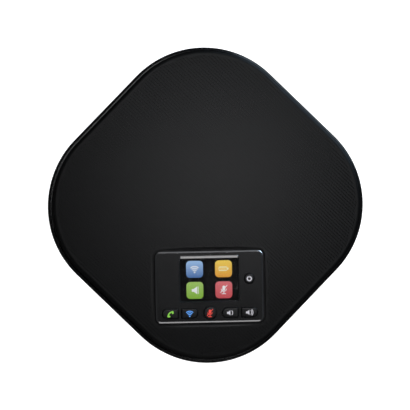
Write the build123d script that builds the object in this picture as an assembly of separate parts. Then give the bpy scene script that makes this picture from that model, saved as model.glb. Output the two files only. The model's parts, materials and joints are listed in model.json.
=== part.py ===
from build123d import *
import math
import os

# Conference speakerphone: a rounded square turned so that its corners point along X and Y.
# Millimetres. Origin at the middle of the box's underside, +Z up, the control panel towards -Y.

# Outline and heights of the case
ACROSS = 235.0  # across the flats
CORNER_R = 80.0
CROWN_Z = 50.0  # top of the domed grille
DOME_R = 1400.0
UNDERSIDE_Z = 2.0
FLOOR = 2.5
WALL = 2.5
BASE_ROUND = 10.0
SPLIT_Z = 24.0  # top of the lower housing's wall

# Trim ring round the foot of the grille
RING_TOP_Z = 27.5
RING_SHELF_Z = 25.5
RING_LIP = 2.2
RING_ROUND = 1.4
RING_FRAME_GAP = 0.2

# Grille and the frame inside it
GRILLE_INSET = 3.25
GRILLE_T = 1.0
GRILLE_ROLL = 3.0
SCRIM_INSET = 7.0
SCRIM_T = 0.4
SCRIM_GAP = 0.05
SCRIM_HEM = 0.5  # how far the cloth stays back from the cut-out
FRAME_INSET = 4.5
FRAME_WALL = 2.2
FRAME_LOW_Z = 21.0
FRAME_FLANGE_INSET = 2.7
PLATE_TOP_Z = 41.0
PLATE_T = 2.2
PLATE_LOW_Z = PLATE_TOP_Z - PLATE_T
FRAME_ROUND = 3.0
BOSS_MEET_Z = 14.0  # where the frame's bosses stand on the lower housing's

# Fasteners through the floor
BASE_SCREWS = [(114, 0), (-114, 0), (36, 100), (-36, 100), (70, -60), (-70, -60), (0, -114)]
BOSS_R = 4.6
SCREW_R = 1.5
SCREW_HEAD_R = 3.0
SCREW_HEAD_H = 2.2
SCREW_SHOULDER_Z = 7.0
SCREW_TIP_Z = 26.0
SCREW_CLEAR = 0.2
HEX_SOCKET_R = 1.4
HEX_SOCKET_DEPTH = 1.3
COUNTERBORE_R = 3.5
FOOT_SPOTS = [(96, 0), (-96, 0), (0, 96), (0, -96)]
FOOT_R = 8.0
FOOT_RECESS = 0.8
FOOT_ROUND = 0.6

# Control panel, in its own frame: x along the row of keys, y away from the user, z out of the fascia
PANEL_Y = -69.0
PANEL_PROUD = 0.6
PANEL_W = 90.4
PANEL_H = 60.0
PANEL_R = 4.8
PANEL_GAP = 2.0  # between the bezel and the grille's cut-out
BEZEL_RIM = 1.5
BEZEL_CHAMFER = 1.2
BEZEL_DEPTH = 4.6
FASCIA_T = 2.2
FASCIA_GAP = 0.1
WINDOW_W = 48.6
WINDOW_H = 35.6
WINDOW_Y = 6.0
WINDOW_R = 1.2
TRIM_SIDE = 0.8
TRIM_TOP = 2.5
TRIM_DEPTH = 1.1
TRIM_LAND = 0.15  # flat edge outside the slope
LENS_MARGIN = 3.0
LENS_T = 1.0
LENS_R = 1.5
LCD_W = 55.0
LCD_H = 42.0
LCD_T = 3.0
LCD_STEP = 0.5
LCD_R = 1.0
TRAY_DEPTH = 10.0
TRAY_T = 1.4
TRAY_OVER = 0.8  # how far the tray reaches past the bezel
TRAY_WALL = 2.2
TRAY_GAP = 0.4  # between the tray and the frame's well
TRAY_FLANGE = 6.0
TRAY_RIB_Y = (-9.0, 21.0)
TRAY_RIB_L = 40.0
TRAY_RIB_T = 1.5
TRAY_SLOT_W = 20.0  # slots in the tray's floor for the flexible leads
TRAY_SLOT_H = 3.0
TRAY_SLOT_Y = (10.5, -18.5)
COLLAR_WALL = 6.5
POST_R = 1.8

# Keys
KEY_Y = -22.0
KEY_H = 8.4
KEY_W = 13.8
KEY_OUTER_X = 33.15
KEY_INNER_X = 16.95
KEY_CORNER_R = 1.2
MUTE_R = 5.5
POWER_R = 4.4
POWER_X = 33.4
POWER_Y = 6.2
KEY_PROUD = 0.8
KEY_ROUND = 0.5
KEY_GAP = 0.2
KEY_LIP = 0.7
KEY_LIP_T = 1.0
KEY_LIP_TOP = -FASCIA_T - 0.1
DOME_H = 1.3
DOME_FOOT_R = 3.2
DOME_TOP_R = 2.2
MEMBRANE_T = 0.8
MEMBRANE_INSET = 0.4
BOARD_T = 1.6
KEYPAD_ROW = (84.0, 12.4)
KEYPAD_COLUMN = (13.0, 38.0)
KEYPAD_COLUMN_AT = (35.5, -9.2)
KEYPAD_R = 1.5

# Loudspeaker, on a vertical axis behind the panel
SPEAKER_Y = 30.0
SPEAKER_HOLE_R = 38.2
FLANGE_R = 45.0
FLANGE_T = 1.5
CONE_R = 31.5
CONE_Z = 42.6
COIL_R = 10.4
COIL_T = 0.4
COIL_LOW_Z = 20.0
CONE_LOW_Z = 31.0
POLE_R = 9.7
YOKE_R = 21.0
YOKE_LOW_Z = 12.0
YOKE_T = 3.0
MAGNET_R = 23.0
MAGNET_H = 7.5
TOP_PLATE_T = 3.0
GAP_R = 11.1
CHAMBER_R = 48.0
CHAMBER_WALL = 2.0
CHAMBER_FLANGE_R = 54.5
CHAMBER_SCREW_R = 51.2
CHAMBER_RIM_T = 2.0
CHAMBER_LIFT = 0.3  # over the housing's floor
LEAD_HOLE_R = 5.0
LEAD_HOLE_Z = 20.0
COIL_OVERLAP = 0.6
SURROUND_R = 36.2  # outer foot of the half-roll
SURROUND_T = 0.5
SURROUND_LIP_R = 38.4
GASKET_R = 40.4
GASKET_H = 3.4
CAP_BALL_R = 16.0
CAP_T = 0.6
SPIDER_STEP = 1.75
SPIDER_WAVE = 0.7
SPIDER_T = 0.35
SPIDER_R = 27.2

# Boards, battery and sockets
STANDOFF_R = 3.0
BOARD_Z = 10.0
MAIN_BOARD = (100.0, 64.0)
MAIN_BOARD_Y = -58.0
AMP_BOARD = (44.0, 56.0)
AMP_BOARD_AT = (80.0, 14.0)
CHIPS = [((14, 14), 1.4, (-24, -70)), ((9, 12), 1.2, (-24, -52)), ((8, 8), 1.0, (-38, -74))]
INDUCTOR = (6.0, 6.0)
INDUCTOR_H = 3.0
INDUCTOR_SPOTS = [(-11, -64), (-11, -72), (-38, -62)]
CAPACITOR_R = 4.0
CAPACITOR_H = 9.0
CAPACITOR_SPOTS = [(28, -40), (28, -50), (28, -60)]
SHIELD = (20.0, 24.0)
SHIELD_AT = (12.0, -70.0)
SHIELD_H = 3.2
SHIELD_T = 0.3
RADIO = (12.0, 22.0)
RADIO_LID = (10.5, 14.0)
RADIO_AT = (40.0, -68.0)
RADIO_T = 0.8
AMP_CAP_R = 3.2
AMP_CAP_H = 8.0
HEATSINK = (20.0, 28.0)
HEATSINK_BASE = 2.5
HEATSINK_H = 12.0
FIN_COUNT = 6
FIN_T = 1.2
SMALL_SCREW_R = 1.2
SMALL_SCREW_CLEAR = 0.15
SMALL_HEAD_R = 2.3
SMALL_HEAD_H = 1.3
CROSS_W = 2.6
CROSS_SLOT = 0.6
CROSS_DEPTH = 0.8
PILOT_FLOOR = 1.0  # solid left under a standoff's pilot hole
CELL_R = 9.2
CELL_L = 65.0
CELL_X = (-66.0, -86.0)
CELL_Y = 10.0
CELL_Z = 15.5
STRAP_T = 1.4
STRAP_W = 20.0
STRAP_CLEAR = 0.3
PAD = (36.0, 10.0)
PAD_SPREAD = 22.0
MIC_SPOTS = [(71, 71), (-71, 71), (71, -71), (-71, -71)]
BOOT_R = 7.0
BOOT_BORE_R = 5.0
BOOT_H = 3.2
BOOT_FLOOR = 1.0
CAPSULE = (4.0, 3.0)
BAY_W = 50.0
BAY_LOW_Z = 12.5
BAY_TOP_Z = 22.0
BAY_WALL = 2.0
BAY_CLEAR = 1.0
PORT_FACE_Y = 128.0
PORT_PLATE_T = 3.0
PORT_BOARD_Z = 12.4
PORT_BOARD = (46.0, 24.5)
PORT_BOARD_GAP = 1.2
USB_X = -14.0
USB_W = 9.0
USB_H = 3.2
USB_L = 10.0
USB_T = 0.3
AUDIO_X = (2.0, 15.0)
AUDIO_Z = 16.8
AUDIO_NOSE_R = 3.0
AUDIO_BORE_R = 1.8
AUDIO_BORE_L = 14.0

# Leads inside the case
LEAD_R = 0.9
LEAD_X = (-2.0, 2.0)
LUG_END_Y = -3.9
RIBBON_T = 0.3
CONNECTOR_TOP = 13.6
SPEAKER_PLUG_TOP = 15.6
SPEAKER_PLUG_Y = -33.5
LCD_CONNECTOR_Y = -52.5
KEYPAD_CONNECTOR_Y = -87.1
BATTERY_PLUG_X = -38.0

TILT = math.degrees(math.asin(-PANEL_Y / DOME_R))
DOME_CENTRE_Z = CROWN_Z - DOME_R
PANEL_Z = DOME_CENTRE_Z + math.sqrt(DOME_R**2 - PANEL_Y**2) + PANEL_PROUD
PANEL = Location((0, PANEL_Y, PANEL_Z), (TILT, 0, 0))


# Shared shapes


def outline(inset, low, high):
    """Prism of the case's outline, drawn in by inset."""
    side = ACROSS - 2 * inset
    return Pos(0, 0, low) * extrude(RectangleRounded(side, side, CORNER_R - inset, rotation=45), high - low)


def slab(width, height, radius, low, high, x=0.0, y=0.0):
    """Upright block with rounded corners."""
    return Pos(x, y, low) * extrude(RectangleRounded(width, height, radius), high - low)


def panel_slab(grow, low, high):
    """Block of the panel's outline, grown all round, in the panel's frame."""
    return slab(PANEL_W + 2 * grow, PANEL_H + 2 * grow, PANEL_R + grow, low, high)


def box(low, high):
    """Box between two corners."""
    size = [b - a for a, b in zip(low, high)]
    return Pos(*low) * Box(*size, align=(Align.MIN, Align.MIN, Align.MIN))


def rod(radius, low, high, x=0.0, y=0.0):
    """Upright cylinder."""
    return Pos(x, y, low) * Cylinder(radius, high - low, align=(Align.CENTER, Align.CENTER, Align.MIN))


def tube(inner, outer, low, high, x=0.0, y=0.0):
    """Upright ring."""
    return rod(outer, low, high, x, y) - rod(inner, low, high, x, y)


def lathe(points, y=0.0):
    """Solid of revolution about a vertical axis, from (radius, z) points."""
    profile = make_face(Plane.XZ * Polyline(*points, close=True))
    return Pos(0, y, 0) * revolve(profile, Axis.Z)


def dome(depth):
    """Ball whose top is the grille's crown, lowered by depth."""
    return Pos(0, 0, DOME_CENTRE_Z) * Sphere(DOME_R - depth)


def key_outline(kind, grow=0.0):
    """Face of a key: a disc, or a bar with its left or right end round and its other end straight."""
    if kind == "power":
        return Circle(POWER_R + grow)
    if kind == "mute":
        return Circle(MUTE_R + grow)
    side = -1 if kind == "round_left" else 1
    end = (KEY_W - KEY_H) / 2
    height = KEY_H + 2 * grow
    blunt_end = Pos(-side * end, 0) * RectangleRounded(height, height, KEY_CORNER_R + grow)
    return Rectangle(2 * end, height) + blunt_end + Pos(side * end, 0) * Circle(height / 2)


KEYS = {
    "call_button": ("round_left", -KEY_OUTER_X, KEY_Y),
    "wireless_button": ("round_right", -KEY_INNER_X, KEY_Y),
    "mute_button": ("mute", 0.0, KEY_Y),
    "volume_down_button": ("round_left", KEY_INNER_X, KEY_Y),
    "volume_up_button": ("round_right", KEY_OUTER_X, KEY_Y),
    "power_button": ("power", POWER_X, POWER_Y),
}


# Case


def bottom_housing():
    """Tub with a rounded foot, screw bosses, foot recesses, board standoffs and the socket bay."""
    outer = outline(0, UNDERSIDE_Z, SPLIT_Z)
    outer = fillet(outer.faces().sort_by(Axis.Z)[0].edges(), BASE_ROUND)
    hollow = outline(WALL, UNDERSIDE_Z + FLOOR, SPLIT_Z)
    hollow = fillet(hollow.faces().sort_by(Axis.Z)[0].edges(), BASE_ROUND - WALL)
    body = outer - hollow
    half = BAY_W / 2 + BAY_WALL
    back = PORT_FACE_Y - PORT_PLATE_T - BAY_CLEAR
    body += outer & box((-half, back, BAY_LOW_Z - BAY_WALL), (half, ACROSS, SPLIT_Z))
    body -= box((-BAY_W / 2, back, BAY_LOW_Z), (BAY_W / 2, ACROSS, BAY_TOP_Z))
    floor_z = UNDERSIDE_Z + FLOOR
    for x, y in BASE_SCREWS:
        body += rod(BOSS_R, floor_z, BOSS_MEET_Z, x, y)
    for x, y in STANDOFFS:
        body += rod(STANDOFF_R, floor_z, BOARD_Z, x, y)
    for x, y in PORT_STANDOFFS:
        body += rod(STANDOFF_R, floor_z, PORT_BOARD_Z, x, y)
    for x, y in STRAP_SCREWS:
        body += rod(STANDOFF_R, floor_z, BOARD_Z, x, y)
    for x, y in BASE_SCREWS:
        body -= rod(COUNTERBORE_R, UNDERSIDE_Z, SCREW_SHOULDER_Z, x, y)
        body -= rod(SCREW_R + SCREW_CLEAR, SCREW_SHOULDER_Z, BOSS_MEET_Z, x, y)
    for x, y in STANDOFFS + PORT_STANDOFFS + STRAP_SCREWS:
        body -= rod(SMALL_SCREW_R, floor_z + PILOT_FLOOR, PORT_BOARD_Z, x, y)
    for x, y in FOOT_SPOTS:
        body -= rod(FOOT_R, UNDERSIDE_Z, UNDERSIDE_Z + FOOT_RECESS, x, y)
    return body


def trim_ring():
    """Ring on the lower housing's wall: a shelf for the grille and a rounded lip outside a groove."""
    ring = outline(0, SPLIT_Z, RING_TOP_Z)
    ring = fillet(ring.faces().sort_by(Axis.Z)[-1].edges(), RING_ROUND)
    ring -= outline(RING_LIP, RING_SHELF_Z, RING_TOP_Z)
    return ring - outline(FRAME_INSET - RING_FRAME_GAP, SPLIT_Z, RING_SHELF_Z)


def top_frame():
    """Inner frame: a wall, a plate for the loudspeaker and microphones, bosses and the panel's collar."""
    frame = outline(FRAME_INSET, FRAME_LOW_Z, PLATE_TOP_Z)
    frame = fillet(frame.faces().sort_by(Axis.Z)[-1].edges(), FRAME_ROUND)
    frame += outline(FRAME_FLANGE_INSET, FRAME_LOW_Z, SPLIT_Z)
    frame -= outline(FRAME_INSET + FRAME_WALL, FRAME_LOW_Z, PLATE_LOW_Z)
    half = BAY_W / 2 + BAY_WALL + BAY_CLEAR
    back = PORT_FACE_Y - PORT_PLATE_T - BAY_WALL - BAY_CLEAR
    frame -= box((-half, back, FRAME_LOW_Z), (half, ACROSS, SPLIT_Z))
    frame -= rod(SPEAKER_HOLE_R, PLATE_LOW_Z, PLATE_TOP_Z, 0, SPEAKER_Y)
    reach = TRAY_OVER + TRAY_GAP
    collar = PANEL * panel_slab(reach + COLLAR_WALL, PLATE_LOW_Z - PANEL_Z, -TRAY_FLANGE)
    frame += collar & box((-ACROSS, -ACROSS, PLATE_LOW_Z), (ACROSS, 0, CROWN_Z))
    frame -= PANEL * panel_slab(reach, -2 * TRAY_DEPTH, 0)
    for x, y in BASE_SCREWS:
        frame += rod(BOSS_R, BOSS_MEET_Z, PLATE_LOW_Z, x, y)
        frame -= rod(SCREW_R, BOSS_MEET_Z, SCREW_TIP_Z + SCREW_R, x, y)
    for x, y in SPEAKER_SCREWS + CHAMBER_SCREWS:
        frame -= rod(SMALL_SCREW_R, PLATE_LOW_Z, PLATE_TOP_Z, x, y)
    for x, y in PANEL_SCREWS:
        frame -= PANEL * rod(SMALL_SCREW_R, PANEL_SCREW_TIP - 1, -TRAY_FLANGE, x, y)
    return frame


def top_grille():
    """Domed cover of sheet steel with a rolled edge and a cut-out for the panel."""
    skin = outline(GRILLE_INSET, RING_SHELF_Z, CROWN_Z + 1) & dome(0)
    skin = fillet(skin.faces().sort_by(Axis.Z)[-1].edges(), GRILLE_ROLL)
    hollow = outline(GRILLE_INSET + GRILLE_T, RING_SHELF_Z, CROWN_Z) & dome(GRILLE_T)
    hollow = fillet(hollow.faces().sort_by(Axis.Z)[-1].edges(), GRILLE_ROLL - GRILLE_T)
    return skin - hollow - PANEL * panel_slab(PANEL_GAP, -TRAY_DEPTH, TRAY_DEPTH)


def grille_scrim():
    """Acoustic cloth stretched under the grille."""
    upper = GRILLE_T + SCRIM_GAP
    sheet = outline(SCRIM_INSET, PLATE_TOP_Z, CROWN_Z) & dome(upper)
    sheet -= dome(upper + SCRIM_T)
    return sheet - PANEL * panel_slab(PANEL_GAP + SCRIM_HEM, -TRAY_DEPTH, TRAY_DEPTH)


def feet():
    """Four rubber feet in round recesses."""
    spots = []
    for x, y in FOOT_SPOTS:
        foot = rod(FOOT_R, 0, UNDERSIDE_Z + FOOT_RECESS, x, y)
        spots.append(fillet(foot.edges().group_by(Axis.Z)[0], FOOT_ROUND))
    return Compound(spots)


def base_screws():
    """Screws from the underside into the frame's bosses, with hexagon sockets."""
    screws = []
    for x, y in BASE_SCREWS:
        low = SCREW_SHOULDER_Z - SCREW_HEAD_H
        head = rod(SCREW_HEAD_R, low, SCREW_SHOULDER_Z, x, y)
        shank = rod(SCREW_R, SCREW_SHOULDER_Z, SCREW_TIP_Z, x, y)
        socket = Pos(x, y, low) * extrude(RegularPolygon(HEX_SOCKET_R, 6), HEX_SOCKET_DEPTH)
        screws.append(head + shank - socket)
    return Compound(screws)


def small_screws(spots, head_low, tip, place=Location()):
    """Group of small pan-head screws driven downwards, or upwards when the tip is above the head."""
    screws = []
    for x, y in spots:
        if tip < head_low:
            head = rod(SMALL_HEAD_R, head_low, head_low + SMALL_HEAD_H, x, y)
            slot_low = head_low + SMALL_HEAD_H - CROSS_DEPTH
            shank = rod(SMALL_SCREW_R, tip, head_low, x, y)
        else:
            head = rod(SMALL_HEAD_R, head_low - SMALL_HEAD_H, head_low, x, y)
            slot_low = head_low - SMALL_HEAD_H
            shank = rod(SMALL_SCREW_R, head_low, tip, x, y)
        cross = Rectangle(CROSS_W, CROSS_SLOT) + Rectangle(CROSS_SLOT, CROSS_W)
        screws.append(place * (head + shank - Pos(x, y, slot_low) * extrude(cross, CROSS_DEPTH)))
    return Compound(screws)


# Control panel


def panel_tray():
    """Tray that holds the display and the keypad, with a flange on the frame's collar."""
    floor_z = -TRAY_DEPTH + TRAY_T
    tray = panel_slab(COLLAR_WALL + TRAY_GAP, -TRAY_FLANGE, -BEZEL_DEPTH)
    tray += panel_slab(TRAY_OVER, -TRAY_DEPTH, -BEZEL_DEPTH)
    tray -= panel_slab(TRAY_OVER - TRAY_WALL, floor_z, -BEZEL_DEPTH)
    for x, y in KEYPAD_POSTS:
        tray += rod(POST_R, floor_z, BOARD_LOW, x, y)
    for y in TRAY_RIB_Y:
        tray += slab(TRAY_RIB_L, TRAY_RIB_T, 0.3, floor_z, LCD_LOW, 0, y)
    for y in TRAY_SLOT_Y:
        tray -= slab(TRAY_SLOT_W, TRAY_SLOT_H, 0.5, -TRAY_DEPTH, floor_z, 0, y)
    for x, y in PANEL_SCREWS:
        tray -= rod(SMALL_SCREW_R + SMALL_SCREW_CLEAR, -TRAY_FLANGE, -BEZEL_DEPTH, x, y)
    return PANEL * tray


def panel_bezel():
    """Metal rim round the fascia with a bevelled top edge."""
    rim = panel_slab(0, -BEZEL_DEPTH, 0)
    rim = chamfer(rim.faces().sort_by(Axis.Z)[-1].edges(), BEZEL_CHAMFER)
    return PANEL * (rim - panel_slab(-BEZEL_RIM, -BEZEL_DEPTH, 0))


def trim_blank(grow, low, high):
    """Block of the display trim's outer outline."""
    width = WINDOW_W + 2 * TRIM_SIDE + 2 * grow
    height = WINDOW_H + TRIM_SIDE + TRIM_TOP + 2 * grow
    middle = WINDOW_Y + (TRIM_TOP - TRIM_SIDE) / 2
    return slab(width, height, WINDOW_R + TRIM_SIDE + grow, low, high, 0, middle)


def fascia():
    """Gloss plate with the display opening, key openings and a pocket for the lens behind."""
    plate = panel_slab(-BEZEL_RIM - FASCIA_GAP, -FASCIA_T, 0)
    plate -= trim_blank(FASCIA_GAP / 2, -FASCIA_T, 0)
    plate -= lens_blank(FASCIA_GAP, -FASCIA_T, -TRIM_DEPTH)
    for kind, x, y in KEYS.values():
        plate -= Pos(x, y, -FASCIA_T) * extrude(key_outline(kind, KEY_GAP), FASCIA_T)
    return PANEL * plate


def lens_blank(grow, low, high):
    """Block of the lens's outline."""
    width = WINDOW_W + 2 * LENS_MARGIN + 2 * grow
    height = WINDOW_H + 2 * LENS_MARGIN + 2 * grow
    return slab(width, height, LENS_R + grow, low, high, 0, WINDOW_Y)


def display_trim():
    """Metal frame round the display window, sloping down to the lens, widest at the top."""
    block = trim_blank(0, -TRIM_DEPTH, 0)
    width = WINDOW_W + 2 * TRIM_SIDE - 2 * TRIM_LAND
    height = WINDOW_H + TRIM_SIDE + TRIM_TOP - 2 * TRIM_LAND
    middle = WINDOW_Y + (TRIM_TOP - TRIM_SIDE) / 2
    mouth = Pos(0, middle, 0) * RectangleRounded(width, height, WINDOW_R + TRIM_SIDE - TRIM_LAND)
    window = Pos(0, WINDOW_Y, -TRIM_DEPTH) * RectangleRounded(WINDOW_W, WINDOW_H, WINDOW_R)
    return PANEL * (block - loft([window, mouth]))


def touch_lens():
    """Glass of the touch display."""
    return PANEL * lens_blank(0, -TRIM_DEPTH - LENS_T, -TRIM_DEPTH)


def lcd_module():
    """Display module: a metal tray with the backlight, and the cell on it."""
    shoulder = LCD_LOW + LCD_T - LCD_STEP
    tray = slab(LCD_W, LCD_H, LCD_R, LCD_LOW, shoulder, 0, WINDOW_Y)
    cell = slab(LCD_W - 2, LCD_H - 2, LCD_R, shoulder, LCD_LOW + LCD_T, 0, WINDOW_Y)
    return PANEL * (tray + cell)


def keypad_shape(low, high, shrink=0.0):
    """L-shaped plate under the keys and round the display's right side."""
    row = [size - 2 * shrink for size in KEYPAD_ROW]
    column = [size - 2 * shrink for size in KEYPAD_COLUMN]
    return slab(*row, KEYPAD_R, low, high, 0, KEY_Y) + slab(*column, KEYPAD_R, low, high, *KEYPAD_COLUMN_AT)


def keypad_board():
    """Circuit board under the keypad."""
    return PANEL * keypad_shape(BOARD_LOW, BOARD_LOW + BOARD_T)


def keypad_membrane():
    """Silicone sheet with one dome under each key."""
    sheet_low = BOARD_LOW + BOARD_T
    sheet = keypad_shape(sheet_low, sheet_low + MEMBRANE_T, MEMBRANE_INSET)
    upright = (Align.CENTER, Align.CENTER, Align.MIN)
    for _, x, y in KEYS.values():
        sheet += Pos(x, y, sheet_low + MEMBRANE_T) * Cone(DOME_FOOT_R, DOME_TOP_R, DOME_H, align=upright)
    return PANEL * sheet


def button(kind, x, y):
    """Key cap: a rounded top through the fascia and a retaining lip behind it."""
    cap = Pos(x, y, KEY_LIP_TOP) * extrude(key_outline(kind), KEY_PROUD - KEY_LIP_TOP)
    cap = fillet(cap.faces().sort_by(Axis.Z)[-1].edges(), KEY_ROUND)
    lip = Pos(x, y, KEY_LIP_TOP - KEY_LIP_T) * extrude(key_outline(kind, KEY_LIP), KEY_LIP_T)
    return PANEL * (cap + lip)


def ribbon(width, x, points):
    """Flat flexible lead, thin in its own plane, along (y, z) points with rounded bends."""
    path = FilletPolyline(*[(x, y, z) for y, z in points], radius=2.0)
    return sweep(Plane(path @ 0, x_dir=(1, 0, 0), z_dir=path % 0) * Rectangle(width, RIBBON_T), path)


def lcd_ribbon():
    """Flexible lead from the display through the tray to the main board."""
    y = LCD_CONNECTOR_Y
    return ribbon(16, 0, [(-58.2, 44.1), (-58.2, 31), (y, 24), (y, CONNECTOR_TOP)])


def keypad_ribbon():
    """Flexible lead from the keypad through the tray to the main board, with a fold of slack."""
    y = KEYPAD_CONNECTOR_Y
    return ribbon(12, 0, [(y, 40.8), (y, 31), (y + 4, 26), (y, 21), (y, CONNECTOR_TOP)])


# Loudspeaker


def speaker_basket():
    """Pressed basket: a flange on the plate, a conical wall with windows and a seat for the motor."""
    top = PLATE_TOP_Z + FLANGE_T
    seat = MOTOR_TOP
    points = [(36, PLATE_TOP_Z), (FLANGE_R, PLATE_TOP_Z), (FLANGE_R, top), (34.8, top), (31.0, 31.0),
              (27.6, SPIDER_Z), (24.4, SPIDER_Z), (24.4, seat + 1.4), (13, seat + 1.4), (13, seat),
              (26.8, seat), (28.8, seat + 1.6), (32.2, 30.6)]
    basket = lathe(points, SPEAKER_Y)
    for turn in range(6):
        window = Rot(0, 0, 60 * turn + 30) * box((20, -8, 29.5), (40, 8, 38.5))
        basket -= Pos(0, SPEAKER_Y, 0) * window
    basket += box((-6, LUG_END_Y, seat), (6, SPEAKER_Y - 26.4, seat + 1.5))
    for x, y in SPEAKER_SCREWS:
        basket -= rod(SMALL_SCREW_R + SMALL_SCREW_CLEAR, PLATE_TOP_Z, top, x, y)
    return basket


def speaker_yoke():
    """Back plate and centre pole of the motor."""
    plate = rod(YOKE_R, YOKE_LOW_Z, YOKE_LOW_Z + YOKE_T, 0, SPEAKER_Y)
    return plate + rod(POLE_R, YOKE_LOW_Z + YOKE_T, MOTOR_TOP, 0, SPEAKER_Y)


def speaker_magnet():
    """Ring magnet."""
    return tube(GAP_R + 1, MAGNET_R, YOKE_LOW_Z + YOKE_T, YOKE_LOW_Z + YOKE_T + MAGNET_H, 0, SPEAKER_Y)


def speaker_top_plate():
    """Steel ring that closes the magnetic gap."""
    return tube(GAP_R, YOKE_R, MOTOR_TOP - TOP_PLATE_T, MOTOR_TOP, 0, SPEAKER_Y)


def voice_coil():
    """Former and winding in the gap."""
    return tube(COIL_R - COIL_T, COIL_R, COIL_LOW_Z, CONE_LOW_Z + COIL_OVERLAP, 0, SPEAKER_Y)


def speaker_cone():
    """Paper cone from the coil to the surround, with a dust cap bulging upwards."""
    low = CONE_LOW_Z
    points = [(COIL_R, low), (CONE_R - 1, CONE_Z - 0.6), (CONE_R, CONE_Z - 0.6), (CONE_R, CONE_Z),
              (CONE_R - 1.4, CONE_Z), (COIL_R, low + 0.9)]
    return lathe(points, SPEAKER_Y)


def dust_cap():
    """Domed cap over the voice coil."""
    foot = CONE_LOW_Z + 0.95
    cap = Sphere(CAP_BALL_R) - Sphere(CAP_BALL_R - CAP_T)
    lift = foot - math.sqrt((CAP_BALL_R - CAP_T) ** 2 - (COIL_R - CAP_T) ** 2)
    keep = rod(COIL_R - 0.05, foot, foot + 8)
    return Pos(0, SPEAKER_Y, 0) * (keep & (Pos(0, 0, lift) * cap))


def speaker_surround():
    """Rubber half-roll between the cone and the basket's flange."""
    middle = (CONE_R + SURROUND_R) / 2
    outer = (SURROUND_R - CONE_R) / 2 + 0.3
    z = CONE_Z + 0.05
    roll = Plane.XZ * (Pos(middle, z) * (Circle(outer) - Circle(outer - SURROUND_T)))
    roll = Pos(0, SPEAKER_Y, 0) * revolve(roll, Axis.Z)
    roll &= rod(FLANGE_R, z, CROWN_Z, 0, SPEAKER_Y)
    lip = tube(middle + outer - 0.1, SURROUND_LIP_R, z, z + SURROUND_T, 0, SPEAKER_Y)
    return roll + lip


def speaker_spider():
    """Corrugated cloth disc that centres the coil."""
    lower = [(COIL_R + 0.05 + k * SPIDER_STEP, SPIDER_Z + SPIDER_WAVE * (k % 2)) for k in range(9)]
    lower.append((SPIDER_R, SPIDER_Z))
    upper = [(r, z + SPIDER_T) for r, z in reversed(lower)]
    return lathe(lower + upper, SPEAKER_Y)


def speaker_gasket():
    """Foam ring on the basket's flange."""
    top = PLATE_TOP_Z + FLANGE_T
    return tube(SURROUND_LIP_R + 0.2, GASKET_R, top, top + GASKET_H, 0, SPEAKER_Y)


def speaker_chamber():
    """Sealed cup behind the loudspeaker, screwed up to the frame's plate."""
    low = UNDERSIDE_Z + FLOOR + CHAMBER_LIFT
    rim_low = PLATE_LOW_Z - CHAMBER_RIM_T
    cup = rod(CHAMBER_R, low, PLATE_LOW_Z, 0, SPEAKER_Y)
    cup += tube(CHAMBER_R - 1, CHAMBER_FLANGE_R, rim_low, PLATE_LOW_Z, 0, SPEAKER_Y)
    cup -= rod(CHAMBER_R - CHAMBER_WALL, low + CHAMBER_WALL, PLATE_LOW_Z, 0, SPEAKER_Y)
    cup -= LEAD_EXIT * Cylinder(LEAD_HOLE_R, 4 * CHAMBER_WALL)
    for x, y in CHAMBER_SCREWS:
        cup -= rod(SMALL_SCREW_R + SMALL_SCREW_CLEAR, rim_low, PLATE_LOW_Z, x, y)
    return cup


def lead_grommet():
    """Rubber plug that seals the leads' way out of the chamber."""
    plug = LEAD_EXIT * Cylinder(LEAD_HOLE_R - 0.1, 3 * CHAMBER_WALL)
    for x in LEAD_X:
        plug -= Pos(x, 0, 0) * LEAD_EXIT * Cylinder(LEAD_R + 0.05, 4 * CHAMBER_WALL)
    return plug


def lead(points, radius, bend):
    """One insulated wire along straight runs and arcs."""
    path = FilletPolyline(*points, radius=bend)
    return sweep(Plane(path @ 0, z_dir=path % 0) * Circle(radius), path)


def speaker_leads():
    """Two wires from the basket to the main board."""
    wires = []
    z = MOTOR_TOP + 0.75
    for x in LEAD_X:
        points = [(x, LUG_END_Y, z), (x, -9.5, z), (x, -13.5, LEAD_HOLE_Z), (x, SPEAKER_PLUG_Y, LEAD_HOLE_Z)]
        points.append((x, SPEAKER_PLUG_Y, SPEAKER_PLUG_TOP))
        wires.append(lead(points, LEAD_R, 3.0))
    return Compound(wires)


def battery_leads():
    """Two wires from the cells to the main board."""
    wires = []
    end = CELL_Y - CELL_L / 2
    for k, x in enumerate(CELL_X):
        y = -47.0 - 3.5 * k
        route = [(x, end), (x, end - 9), (x + 18, y), (BATTERY_PLUG_X - 3.5, y)]
        wires.append(lead([(px, py, CELL_Z) for px, py in route], LEAD_R, 5.0))
    return Compound(wires)


# Boards, battery and sockets


def main_board():
    """Main circuit board on four standoffs."""
    board = slab(*MAIN_BOARD, 3, BOARD_Z, BOARD_Z + BOARD_T, 0, MAIN_BOARD_Y)
    for x, y in STANDOFFS[:4]:
        board -= rod(SMALL_SCREW_R + SMALL_SCREW_CLEAR, BOARD_Z, BOARD_Z + BOARD_T, x, y)
    return board


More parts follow.
